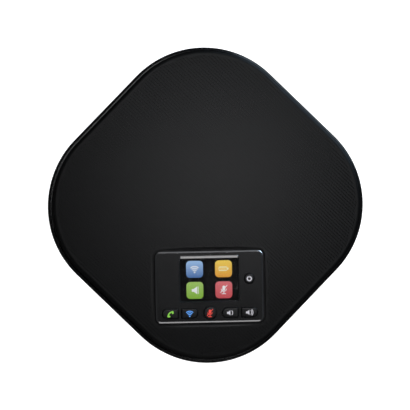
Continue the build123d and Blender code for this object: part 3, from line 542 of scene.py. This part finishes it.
def inner_plastic():
    """Satin charcoal moulding with flow marks."""
    p = Paint("inner_plastic", (0.004, 0.004, 0.0044), 0.5, Specular_IOR_Level=0.2)
    p.tone(p.noise(0.015, 5), 0.2)
    p.rough(p.noise(0.005), 0.45, 0.6)
    return p.bump(p.noise(0.0008), 0.00002).material


def dress_nodes():
    """Gives every CAD node its slot's material."""
    makers = [case_plastic, ring_plastic, grille_steel, scrim_cloth, rubber, silicone, foam, screw_steel,
              bezel_metal, fascia_gloss, lens_glass, display_cell, key_plastic, circuit_board, shield_tin,
              heatsink_alloy, basket_steel, magnet_ferrite, cone_paper, spider_cloth, lead_pvc, flex_film,
              cell_wrap, jack_plastic, inner_plastic]
    made = {maker.__name__: maker() for maker in makers}
    for part in frame["record"]["subparts"]:
        mesh = nodes[part["node"]].data
        mesh.materials.clear()
        mesh.materials.append(made[part["material_slot"]])
    return made


MATERIALS = dress_nodes()


# Slotted grille, and the ring round it


RING_LOW, RING_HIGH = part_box("trim_ring")
GRILLE_LOW, GRILLE_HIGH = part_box("top_grille")
GRILLE_INSET = RING_HIGH.x - GRILLE_HIGH.x
GRILLE_CORNER_R = CORNER_R - GRILLE_INSET
GRILLE_HALF = (GRILLE_HIGH.x + GRILLE_CORNER_R * (ROOT2 - 1)) / ROOT2
SLOT_PITCH = ROW_STEP * 2 / math.sqrt(3)
CELL_R = SLOT_PITCH / math.sqrt(3)
ARC_STEPS, FLAT_STEPS = 60, 16
RING_COUNT = 4 * (ARC_STEPS + FLAT_STEPS)


def edge_depth(x, y):
    """How far a point lies inside the grille's outline in plan."""
    reach = GRILLE_HALF - GRILLE_CORNER_R
    u = abs(x + y) / ROOT2 - reach
    v = abs(y - x) / ROOT2 - reach
    return GRILLE_CORNER_R - math.hypot(max(u, 0), max(v, 0)) - min(max(u, v), 0)


def skin_point(x, y, sink=0.0):
    """Point on the grille's outer face, or on the face a little way under it."""
    over = max(ROLL_R - max(edge_depth(x, y), 0), 0)
    drop = ROLL_R - math.sqrt(ROLL_R**2 - over**2)
    crown = GRILLE_HIGH.z - DOME_R + math.sqrt((DOME_R - sink) ** 2 - x * x - y * y)
    return Vector((x, y, crown - drop))


def outline_point(depth, k):
    """One of the outline's points, drawn in by depth: arcs round the corners, then flats between them."""
    corner, step = divmod(k, ARC_STEPS + FLAT_STEPS)
    radius = GRILLE_CORNER_R - depth
    reach = (GRILLE_HALF - GRILLE_CORNER_R) * ROOT2

    def on_arc(centre_turn, angle):
        x = reach * math.cos(centre_turn) + radius * math.cos(angle)
        return Vector((x, reach * math.sin(centre_turn) + radius * math.sin(angle)))

    turn = math.radians(90 * corner)
    last = turn + math.radians(45)
    if step <= ARC_STEPS:
        return on_arc(turn, last - math.radians(90 - 90 * step / ARC_STEPS))
    return on_arc(turn, last).lerp(on_arc(turn + math.radians(90), last), (step - ARC_STEPS) / FLAT_STEPS)


def cutout_depth(x, y):
    """How far a point lies outside the panel's cut-out, and less than 0 inside it."""
    local = TO_PANEL @ Vector((x, y, PANEL.translation.z))
    u = abs(local.x) - PANEL_SIZE.x / 2 - CUTOUT_GAP + CUTOUT_R
    v = abs(local.y) - PANEL_SIZE.y / 2 - CUTOUT_GAP + CUTOUT_R
    return math.hypot(max(u, 0), max(v, 0)) + min(max(u, v), 0) - CUTOUT_R


def cutout_loop(grow):
    """Plan of the panel's cut-out, grown all round, in metres."""
    width = PANEL_SIZE.x + 2 * (CUTOUT_GAP + grow)
    height = PANEL_SIZE.y + 2 * (CUTOUT_GAP + grow)
    loop = rounded_box(width, height, CUTOUT_R + grow, steps=10)
    return [(PANEL @ Vector((x, y, -CUTOUT_GAP))).xy for x, y in loop]


def lattice_point(i, j):
    """Middle of a cell; the rows run along the case's falling flats."""
    u = (i + 0.5 * (j % 2)) * SLOT_PITCH
    v = j * ROW_STEP
    return Vector(((u + v) / ROOT2, (v - u) / ROOT2))


def has_slot(point):
    """Whether the whole of a cell lies in the perforated field."""
    return edge_depth(*point) > BORDER + CELL_R and cutout_depth(*point) > CUTOUT_BORDER + CELL_R


def nearest_cell(point):
    """Middle of the cell that a point falls in."""
    u = (point.x - point.y) / ROOT2
    v = (point.x + point.y) / ROOT2
    rows = (math.floor(v / ROW_STEP), math.floor(v / ROW_STEP) + 1)
    middles = [lattice_point(round(u / SLOT_PITCH - 0.5 * (j % 2)), j) for j in rows]
    return min(middles, key=lambda middle: (middle - point).length)


def slot_field(plan):
    """Adds the slots' plan points; returns the sheet's triangles, the slots' loops and the cells."""
    faces, slots, cells, shared = [], [], [], {}
    along = Vector((1, -1)) / ROOT2
    across = Vector((1, 1)) / ROOT2
    turns = [math.radians(30 + 60 * k) for k in range(6)]
    corners = [CELL_R * (math.cos(t) * along + math.sin(t) * across) for t in turns]
    tip = SLOT_HALF_L * along
    slope = SLOT_SHOULDER * along
    half = SLOT_HALF_W * across
    slot = [tip, slope + half, half - slope, -tip, -slope - half, slope - half]

    def corner_index(point):
        key = (round(point.x / CELL_R * 40), round(point.y / CELL_R * 40))
        if key not in shared:
            shared[key] = len(plan)
            plan.append(point)
        return shared[key]

    reach = int(GRILLE_HALF / ROW_STEP) + 2
    for j in range(-reach, reach + 1):
        for i in range(-reach, reach + 1):
            middle = lattice_point(i, j)
            if max(abs(middle.x), abs(middle.y)) > GRILLE_HIGH.x or not has_slot(middle):
                continue
            ring = [corner_index(middle + corner) for corner in corners]
            loop = add_ring(plan, [middle + point for point in slot])
            cells.append(tuple(ring))
            slots.append(loop)
            for k in range(6):
                n = (k + 1) % 6
                faces.append((loop[k], ring[k], loop[n]))
                faces.append((ring[k], ring[n], loop[n]))
    return faces, slots, cells


def sheet_faces(plan, loops, edges, keep, extra=()):
    """Triangles between the loops and edges wherever keep says that a triangle's middle is sheet."""
    back = [*dict.fromkeys([i for loop in loops for i in loop] + [i for edge in edges for i in edge] + list(extra))]
    index = {old: new for new, old in enumerate(back)}
    lines = [(index[a], index[b]) for a, b in edges]
    lines += [(index[a], index[b]) for loop in loops for a, b in zip(loop, loop[1:] + loop[:1])]
    points = [plan[i] for i in back]
    _, _, triangles, origins, _, _ = geometry.delaunay_2d_cdt(points, lines, [], 0, 1e-9)
    faces = [tuple(back[origins[i][0]] for i in triangle) for triangle in triangles]
    return [face for face in faces if keep(sum((plan[i] for i in face), Vector((0, 0))) / 3)]


def add_ring(points, ring):
    """Adds a ring of points and returns their numbers."""
    first = len(points)
    points.extend(ring)
    return list(range(first, first + len(ring)))


def band(near, far):
    """Quads between two rings of the same count."""
    return [(a, c, d, b) for a, b, c, d in zip(near, near[1:] + near[:1], far, far[1:] + far[:1])]


def turned_up(plan, faces):
    """The faces with each one wound anticlockwise in plan."""
    turned = []
    for face in faces:
        a, b, c = (plan[i] for i in face)
        turned.append(face if (b - a).cross(c - a) > 0 else face[::-1])
    return turned


def slotted_skin(verts):
    """Outer face of the grille with its slots; returns the faces, the edge ring, the cut-out ring and floors."""
    plan = []
    faces, slots, cells = slot_field(plan)
    edge = add_ring(plan, [outline_point(BORDER, k) for k in range(RING_COUNT)])
    cut = add_ring(plan, cutout_loop(0))

    def keep(point):
        inside = edge_depth(*point) > BORDER and cutout_depth(*point) > 0
        return inside and not has_slot(nearest_cell(point))

    faces += sheet_faces(plan, [edge, cut], boundary(cells), keep)
    add_ring(verts, [skin_point(*p) for p in plan])
    walls, floors = [], []
    for slot in slots:
        floor = add_ring(verts, [skin_point(*plan[i], SLOT_DEPTH) for i in slot])
        walls += band(slot, floor)
        floors.append(tuple(floor))
    return turned_up(plan, faces) + walls, edge, cut, floors


def lining(verts):
    """Inner face of the grille, without slots; returns the faces, the edge ring and the cut-out ring."""
    plan = []
    edge = add_ring(plan, [outline_point(BORDER, k) for k in range(RING_COUNT)])
    cut = add_ring(plan, cutout_loop(GRILLE_T))
    step = 10 * MM
    reach = int(GRILLE_HIGH.x / step)
    grid = [Vector((i * step, j * step)) for i in range(-reach, reach + 1) for j in range(-reach, reach + 1)]
    spread = [p for p in grid if edge_depth(*p) > BORDER + step / 4 and cutout_depth(*p) > GRILLE_T + step / 4]
    extra = add_ring(plan, spread)

    def keep(point):
        return edge_depth(*point) > BORDER and cutout_depth(*point) > GRILLE_T

    faces = turned_up(plan, sheet_faces(plan, [edge, cut], [], keep, extra))
    first = len(verts)
    add_ring(verts, [skin_point(*p, GRILLE_T) for p in plan])
    lined = [tuple(first + i for i in face[::-1]) for face in faces]
    return lined, [first + i for i in edge], [first + i for i in cut]


def at_height(point, z):
    return Vector((point.x, point.y, z))


def outline_ring(verts, depth, heights):
    return add_ring(verts, [at_height(outline_point(depth, k), z) for k, z in enumerate(heights)])


def slotted_grille():
    """The domed cover as one closed sheet: slots, plain border, rolled edge, skirt and turned-down cut-out."""
    verts = []
    skin, edge, cut, floors = slotted_skin(verts)
    lined, inner_edge, inner_cut = lining(verts)
    shoulder = [skin_point(*outline_point(0, k)).z for k in range(RING_COUNT)]
    foot = [GRILLE_LOW.z] * RING_COUNT
    collar = add_ring(verts, [skin_point(*outline_point(ROLL_R + ROLL_COLLAR, k)) for k in range(RING_COUNT)])
    rings = [edge, collar]
    for step in range(1, ROLL_STEPS + 1):
        swing = math.pi / 2 * (1 - step / ROLL_STEPS)
        depth = ROLL_R * (1 - math.sin(swing * (1 - step / ROLL_STEPS / 50)))
        rings.append(add_ring(verts, [skin_point(*outline_point(depth, k)) for k in range(RING_COUNT)]))
    rings.append(outline_ring(verts, 0, foot))
    rings.append(outline_ring(verts, GRILLE_T, foot))
    inner_roll = ROLL_R - GRILLE_T
    for step in range(7):
        swing = math.pi / 2 * step / 6
        depth = GRILLE_T + inner_roll * (1 - math.cos(swing))
        rise = [z + inner_roll * math.sin(swing) for z in shoulder]
        rings.append(outline_ring(verts, depth, rise))
    rings.append(inner_edge)
    walls = [face for near, far in zip(rings, rings[1:]) for face in band(near, far)]

    low = [verts[i] - LIP_DEPTH * PANEL.col[2].xyz for i in cut]
    drop = add_ring(verts, low)
    back = add_ring(verts, [Vector((*verts[i].xy, z.z)) for i, z in zip(inner_cut, low)])
    walls += [face[::-1] for near, far in ((cut, drop), (drop, back), (back, inner_cut)) for face in band(near, far)]

    piece = make_object("slotted_grille", verts, skin + lined + walls + floors, MATERIALS["grille_steel"])
    piece.data.materials.append(MATERIALS["scrim_cloth"])
    first = len(skin) + len(lined) + len(walls)
    for polygon in piece.data.polygons[first:]:
        polygon.material_index = 1
    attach(piece, "case")
    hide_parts("top_grille")


def crowned_ring():
    """Trim ring with a crowned lip that falls away outward, a shelf for the grille and a groove between them."""
    groove = GRILLE_INSET - RING_GAP
    land = RING_HIGH.z - GRILLE_LOW.z
    lip = [(inset * MM, RING_HIGH.z - drop * MM) for inset, drop in LIP_PROFILE]
    crest = [(groove - 0.15 * MM, RING_HIGH.z - 0.02 * MM), (groove - 0.05 * MM, RING_HIGH.z),
             (groove, RING_HIGH.z - 0.05 * MM), (groove, RING_HIGH.z - land)]
    profile = [(0.0, RING_LOW.z), *lip, *crest, (RING_BORE, RING_HIGH.z - land), (RING_BORE, RING_LOW.z)]
    verts = []
    rings = []
    for inset, z in profile:
        rings.append(outline_ring(verts, inset - GRILLE_INSET, [z] * RING_COUNT))
    walls = [face[::-1] for near, far in zip(rings, rings[1:] + rings[:1]) for face in band(near, far)]
    piece = make_object("crowned_ring", verts, walls, MATERIALS["ring_plastic"])
    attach(piece, "case")
    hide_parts("trim_ring")


slotted_grille()
crowned_ring()


# Panel pieces that replace plainer CAD ones


def ringed(name, loops, material, close):
    """Solid through rings of the same count, capped at both ends, or joined from last to first."""
    verts = []
    rings = [add_ring(verts, [PANEL @ Vector(p) for p in loop]) for loop in loops]
    pairs = list(zip(rings, rings[1:]))
    if close:
        pairs.append((rings[-1], rings[0]))
    faces = [face for near, far in pairs for face in band(near, far)]
    if not close:
        faces += [tuple(rings[0]), tuple(rings[-1][::-1])]
    piece = make_object(name, verts, [face[::-1] for face in faces], material, 35)
    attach(piece, "case")
    return piece


def bevelled_bezel():
    """Bright rim round the fascia: an upright wall, a shallow polished bevel and a small inner round."""
    low = panel_box("panel_bezel")[0].z
    face = [(inset * MM, z * MM) for inset, z in BEZEL_PROFILE]
    profile = [(0.0, low), *face, (BEZEL_W * MM, low)]
    loops = []
    for inset, z in profile:
        width, height = PANEL_SIZE.x - 2 * inset, PANEL_SIZE.y - 2 * inset
        loops.append([(x, y, z) for x, y in rounded_box(width, height, BEZEL_R - inset, steps=12)])
    piece = ringed("bevelled_bezel", loops, MATERIALS["bezel_metal"], True)
    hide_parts("panel_bezel")


def display_frame():
    """Frame round the display window: a wide polished slope along its top, steep sides elsewhere painted dark as
    shade.
    """
    low, high = panel_box("display_trim")
    window_low, window_high = window_box()
    outer = rounded_box(high.x - low.x, high.y - low.y, TRIM_R, 0, (low.y + high.y) / 2, 12)
    middle_y = (window_low.y + window_high.y) / 2
    inner = rounded_box(window_high.x - window_low.x, window_high.y - window_low.y, WINDOW_R, 0, middle_y, 12)
    depth = high.z - low.z
    loops = []
    for share, fall in TRIM_PROFILE:
        mixed = [(a + (c - a) * share, b + (d - b) * share) for (a, b), (c, d) in zip(outer, inner)]
        loops.append([(x, y, high.z - depth * fall) for x, y in mixed])
    piece = ringed("display_frame", loops, MATERIALS["bezel_metal"], True)
    piece.data.materials.append(painted_shade_metal())
    # Painted shade: every face below the window's top edge takes the darkened copy of the frame metal.
    for polygon in piece.data.polygons:
        if (TO_PANEL @ polygon.center).y < window_high.y:
            polygon.material_index = 1
    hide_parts("display_trim")


def window_box():
    """Lowest and highest corners of the display window, from the display's own edge."""
    low, high = panel_box("lcd_module")
    return low + WINDOW_MARGIN, high - WINDOW_MARGIN


def key_outline(width, height, kind, grow):
    """Outline of a key round its middle: a disc, or a bar with one end round and the other straight."""
    if kind == "disc":
        return ring_loop(0, 0, width / 2 + grow, 72)
    side = -1 if kind == "round_left" else 1
    half_h = height / 2 + grow
    end = (width - height) / 2
    corner = max(KEY_CORNER_R + grow, 0.2 * MM)
    blunt = end + half_h - corner
    loop = arc(side * end, 0, half_h, -90, 90 if side > 0 else -270, 36)
    loop += arc(-side * blunt, half_h - corner, corner, 90, 180 if side > 0 else 0, 8)
    loop += arc(-side * blunt, corner - half_h, corner, 180 if side > 0 else 0, 270 if side > 0 else -90, 8)
    return loop if side > 0 else loop[::-1]


def key_cap(name, kind):
    """Key cap with a pillowed edge, a flat middle for its symbol and a lip behind the fascia."""
    low, high = panel_box(f"{name}_button")
    width, height = high.x - low.x - 2 * KEY_LIP, high.y - low.y - 2 * KEY_LIP
    middle = (low + high) / 2
    shelf = low.z + KEY_LIP_T
    top = high.z - CAP_SINK
    profile = [(KEY_LIP, low.z), (KEY_LIP, shelf), (0.0, shelf)]
    for k in range(KEY_EDGE_STEPS + 1):
        swing = math.pi / 2 * k / KEY_EDGE_STEPS
        profile.append((-KEY_EDGE * (1 - math.cos(swing)), top - KEY_EDGE_H * (1 - math.sin(swing))))
    loops = []
    for grow, z in profile:
        outline = key_outline(width, height, kind, grow)
        loops.append([(middle.x + x, middle.y + y, z) for x, y in outline])
    piece = ringed(f"cap_{name}", loops, MATERIALS["key_plastic"], False)
    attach(piece, f"{name}_key")
    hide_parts(f"{name}_button")


bevelled_bezel()
display_frame()
for key, shape in (("call", "round_left"), ("wireless", "round_right"), ("mute", "disc"),
                   ("volume_down", "round_left"), ("volume_up", "round_right"), ("power", "disc")):
    key_cap(key, shape)


# Display tiles and lit symbols, drawn in millimetres round their own middles


def handset():
    """Curved telephone handset, its two ends turned in."""
    x, y, radius = 2.1, -2.1, 3.9
    ends = [stroke([ring_spot(x, y, radius, turn), ring_spot(x, y, radius - 1.1, turn)], 1.5) for turn in (92, 178)]
    return [stroke(arc(x, y, radius, 92, 178, 16), 1.1), *ends]


def ring_spot(x, y, radius, turn):
    """Point on a circle, its direction in degrees."""
    return arc(x, y, radius, turn, turn, 1)[0]


def radio_waves():
    """A dot under three widening arcs."""
    y = -2.5
    arcs = [stroke(arc(0, y, radius, 50, 130, 14), 0.8) for radius in (1.9, 3.4, 4.9)]
    return [ring_loop(0, y, 0.72), *arcs]


def crossed_microphone():
    """Microphone on its stand, struck through."""
    capsule = rounded_box(2.1, 3.7, 1.05, 0, 1.3)
    cradle = stroke(arc(0, 0.9, 2.0, 190, 350, 16), 0.55)
    stem = stroke([(0, -1.1), (0, -2.7)], 0.6)
    foot = stroke([(-1.3, -2.9), (1.3, -2.9)], 0.65)
    return [capsule, cradle, stem, foot, stroke([(-2.4, -2.0), (2.4, 3.3)], 0.62)]


def loudspeaker(waves):
    """Small box and horn opening to the right, with sound waves."""
    x = -0.7 - 0.3 * waves
    box = [(x - 1.7, -0.85), (x - 0.5, -0.85), (x + 1.1, -2.2), (x + 1.1, 2.2), (x - 0.5, 0.85), (x - 1.7, 0.85)]
    return [box] + [stroke(arc(x + 0.6, 0, 1.35 + 1.1 * k, -42, 42, 12), 0.6) for k in range(1, waves + 1)]


def power_ring():
    """Ring with a narrow gap at the top and a short bar in it."""
    return [stroke(arc(0, 0, 1.72, 122, 418, 40), 1.0), stroke([(0, 1.05), (0, 2.1)], 0.5)]


def battery():
    """Lying cell with a terminal at its right end."""
    return [rounded_box(7.2, 3.7, 1.0, -0.4), rounded_box(1.2, 1.7, 0.4, 3.6)]


def charge_bars():
    """Four bars of charge in the lying cell."""
    return [rounded_box(1.15, 2.3, 0.25, -2.85 + 1.62 * k) for k in range(4)]


def small_horn():
    """Loudspeaker opening to the right, drawn large for a tile, with a bar beyond its mouth."""
    horn = [(-2.6, -1.15), (-0.9, -1.15), (1.9, -3.3), (1.9, 3.3), (-0.9, 1.15), (-2.6, 1.15)]
    return [horn, stroke([(2.75, -2.9), (2.75, 2.9)], 0.5)]


def printed(colour, name):
    """Lit symbol: light from behind through coloured ink, uneven as a light guide makes it."""
    p = Paint(name, [c * 0.5 for c in colour], 0.45, Specular_IOR_Level=0.3, Emission_Strength=0.85)
    p.tone(p.noise(0.4 * MM, 2), 0.12)
    glow = p.mix(p.noise(1.5 * MM, 2), [c * 0.82 for c in colour], colour)
    p.tree.links.new(glow, p.shader.inputs["Emission Color"])
    return p.bump(p.noise(0.2 * MM), 0.01 * MM).material


def lit(name, top, bottom, low, high):
    """Lit part of the display: a blend from bottom to top over a fine grid of picture cells."""
    p = Paint(name, (0.002, 0.002, 0.002), 0.4, Emission_Strength=1.0, Specular_IOR_Level=0.2)
    y = p.add("ShaderNodeSeparateXYZ", Vector=p.place).outputs["Y"]
    blend = p.mix(p.spread(y, 0.0, 1.0, low, high), bottom, top)
    grid = p.maths("MULTIPLY", p.wave(0.3 * MM, "X"), p.wave(0.3 * MM, "Y"))
    shade = p.add("ShaderNodeMix")
    shade.data_type = "RGBA"
    shade.blend_type = "MULTIPLY"
    p.feed(shade, 0, 0.06)
    p.feed(shade, 6, blend)
    p.tree.links.new(p.mix(grid, (0.0, 0.0, 0.0), (1.0, 1.0, 1.0)), shade.inputs[7])
    p.tree.links.new(shade.outputs[2], p.shader.inputs["Emission Color"])
    return p.material


def rgb(red, green, blue):
    """Linear colour of a display colour given out of 255."""
    return tuple(((c / 255 + 0.055) / 1.055) ** 2.4 for c in (red, green, blue))


def on_panel(name, loops, low, high, material, body="case", holes=()):
    """Flat piece on the panel, riding on a body."""
    piece = plate(name, loops, low, high, material, PANEL, holes)
    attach(piece, body)


def display_picture():
    """Four tiles with white symbols on the display, under the lens."""
    cell_low, cell_high = panel_box("lcd_module")
    lens_low, _ = panel_box("touch_lens")
    face = cell_high.z
    room = lens_low.z - face
    middle_y = (cell_low.y + cell_high.y) / 2 / MM
    white = (0.80, 0.82, 0.84)
    cream = (0.83, 0.82, 0.50)
    struck_out = moved(crossed_microphone(), scale=1.12)
    tiles = (
        ("wireless", -1, 1, rgb(150, 184, 224), rgb(70, 106, 162), radio_waves(), white, ()),
        ("battery", 1, 1, rgb(232, 200, 88), rgb(216, 150, 54), battery(), cream, charge_bars()),
        ("sound", -1, -1, rgb(152, 188, 98), rgb(122, 168, 56), small_horn(), white, ()),
        ("microphone", 1, -1, rgb(206, 106, 112), rgb(190, 74, 80), struck_out, white, ()),
    )
    for name, side, row, top, bottom, symbol, ink, holes in tiles:
        x, y = side * TILE_X, middle_y + row * TILE_Y
        ends = [(PANEL @ Vector((0, (y + end) * MM, face))).y for end in (-7, 7)]
        tile = lit(f"tile_{name}_glow", top, bottom, *ends)
        on_panel(f"tile_{name}", [rounded_box(TILE, TILE, TILE_R, x, y)], face, face + room / 3, tile)
        glow = lit(f"symbol_{name}_glow", ink, [c * 0.86 for c in ink], *ends)
        loops = moved(symbol, x, y)
        on_panel(f"symbol_{name}", loops, face + room / 3, face + room * 2 / 3, glow, holes=moved(holes, x, y))


def key_symbols():
    """Lit symbols in the tops of the key caps."""
    white = printed((0.42, 0.41, 0.44), "ink_white")
    symbols = (
        ("call", handset(), printed(rgb(116, 178, 62), "ink_green")),
        ("wireless", moved(radio_waves(), scale=0.86), printed(rgb(84, 146, 222), "ink_blue")),
        ("mute", moved(crossed_microphone(), scale=0.98), printed(rgb(204, 62, 52), "ink_red")),
        ("volume_down", loudspeaker(1), white),
        ("volume_up", loudspeaker(2), white),
        ("power", power_ring(), white),
    )
    for name, loops, ink in symbols:
        low, high = panel_box(f"{name}_button")
        x, y = (low.x + high.x) / 2 / MM, (low.y + high.y) / 2 / MM
        top = high.z - CAP_SINK
        on_panel(f"symbol_on_{name}", moved(loops, x, y), top, top + SYMBOL_T, ink, f"{name}_key")


display_picture()
key_symbols()


# Floor, lights and camera

VIEW_LEFT, VIEW_NEAR, VIEW_ROLL = math.radians(3.7), math.radians(1.5), math.radians(1.2)
VIEW_REACH = 2.4
FLOOR_R, COVE_R, WALL_TOP = 4.0, 1.5, 6.0
VIEW_WIDTH = 0.3458  # across the picture at the ring's height
VIEW_AIM = Vector((-0.7 * MM, 0.0, RING_LOW.z))


def floor():
    """Plain white floor that curves up into a wall all round, lit from inside as a light table is."""
    sweep = [(FLOOR_R + COVE_R * math.sin(t), COVE_R * (1 - math.cos(t))) for t in
             (math.pi / 2 * k / 12 for k in range(13))]
    profile = [(FLOOR_R / 2, 0.0), *sweep, (FLOOR_R + COVE_R, WALL_TOP)]
    turns = [math.tau * k / 96 for k in range(96)]
    verts = []
    rings = [add_ring(verts, [(r * math.cos(t), r * math.sin(t), z) for t in turns]) for r, z in profile]
    faces = [face for near, far in zip(rings, rings[1:]) for face in band(near, far)] + [tuple(rings[0])]
    p = Paint("floor_white", (0.5, 0.5, 0.5), 0.9, Specular_IOR_Level=0.1, Emission_Strength=1.0)
    p.shader.inputs["Emission Color"].default_value = (1, 1, 1, 1)
    p.tone(p.noise(0.3), 0.01)
    stage = make_object("floor", verts, faces, p.material)
    stage.visible_glossy = False
    stage.visible_transmission = False


def softbox(name, spot, width, height, power, colour=(1, 1, 1)):
    """Area light at a spot, turned to the object."""
    data = bpy.data.lights.new(name, "AREA")
    data.shape = "RECTANGLE"
    data.size = width
    data.size_y = height
    data.energy = power
    data.color = colour
    lamp = bpy.data.objects.new(name, data)
    lamp.location = spot
    lamp.rotation_euler = (-Vector(spot)).to_track_quat("-Z", "Y").to_euler()
    bpy.context.scene.collection.objects.link(lamp)


def studio():
    """Soft key light from above, a cool wide box low on the far right, and weak fill near and far."""
    world = bpy.data.worlds.new("studio")
    world.use_nodes = True
    world.node_tree.nodes["Background"].inputs[0].default_value = (0.92, 0.96, 1.0, 1)
    world.node_tree.nodes["Background"].inputs[1].default_value = 0.022
    bpy.context.scene.world = world
    softbox("key", (0.21, 0.23, 2.2), 0.6, 0.6, 9.9, (0.97, 0.98, 1.0))
    softbox("cool_box", (1.45, 1.45, 0.85), 1.6, 1.0, 30, (0.6, 0.79, 1.0))
    softbox("near_fill", (0.0, -1.7, 1.3), 1.6, 0.6, 1.6)
    softbox("far_fill", (0.0, 1.45, 1.65), 1.6, 0.6, 0.45)


def camera():
    """Nearly straight down, from slightly to the left of the case and slightly on the user's side."""
    data = bpy.data.cameras.new("camera")
    data.sensor_width = 36.0
    data.lens = data.sensor_width * VIEW_REACH / VIEW_WIDTH
    data.clip_end = 20
    back = Vector((-math.tan(VIEW_LEFT), -math.tan(VIEW_NEAR), 1)).normalized()
    up = Vector((math.sin(VIEW_ROLL), math.cos(VIEW_ROLL), 0))
    right = up.cross(back).normalized()
    turn = Matrix((right, back.cross(right), back)).transposed()
    eye = bpy.data.objects.new("camera", data)
    eye.matrix_world = Matrix.Translation(VIEW_AIM + VIEW_REACH * back) @ turn.to_4x4()
    bpy.context.scene.collection.objects.link(eye)
    bpy.context.scene.camera = eye
    bpy.context.scene.view_settings.view_transform = "Standard"


floor()
studio()
camera()
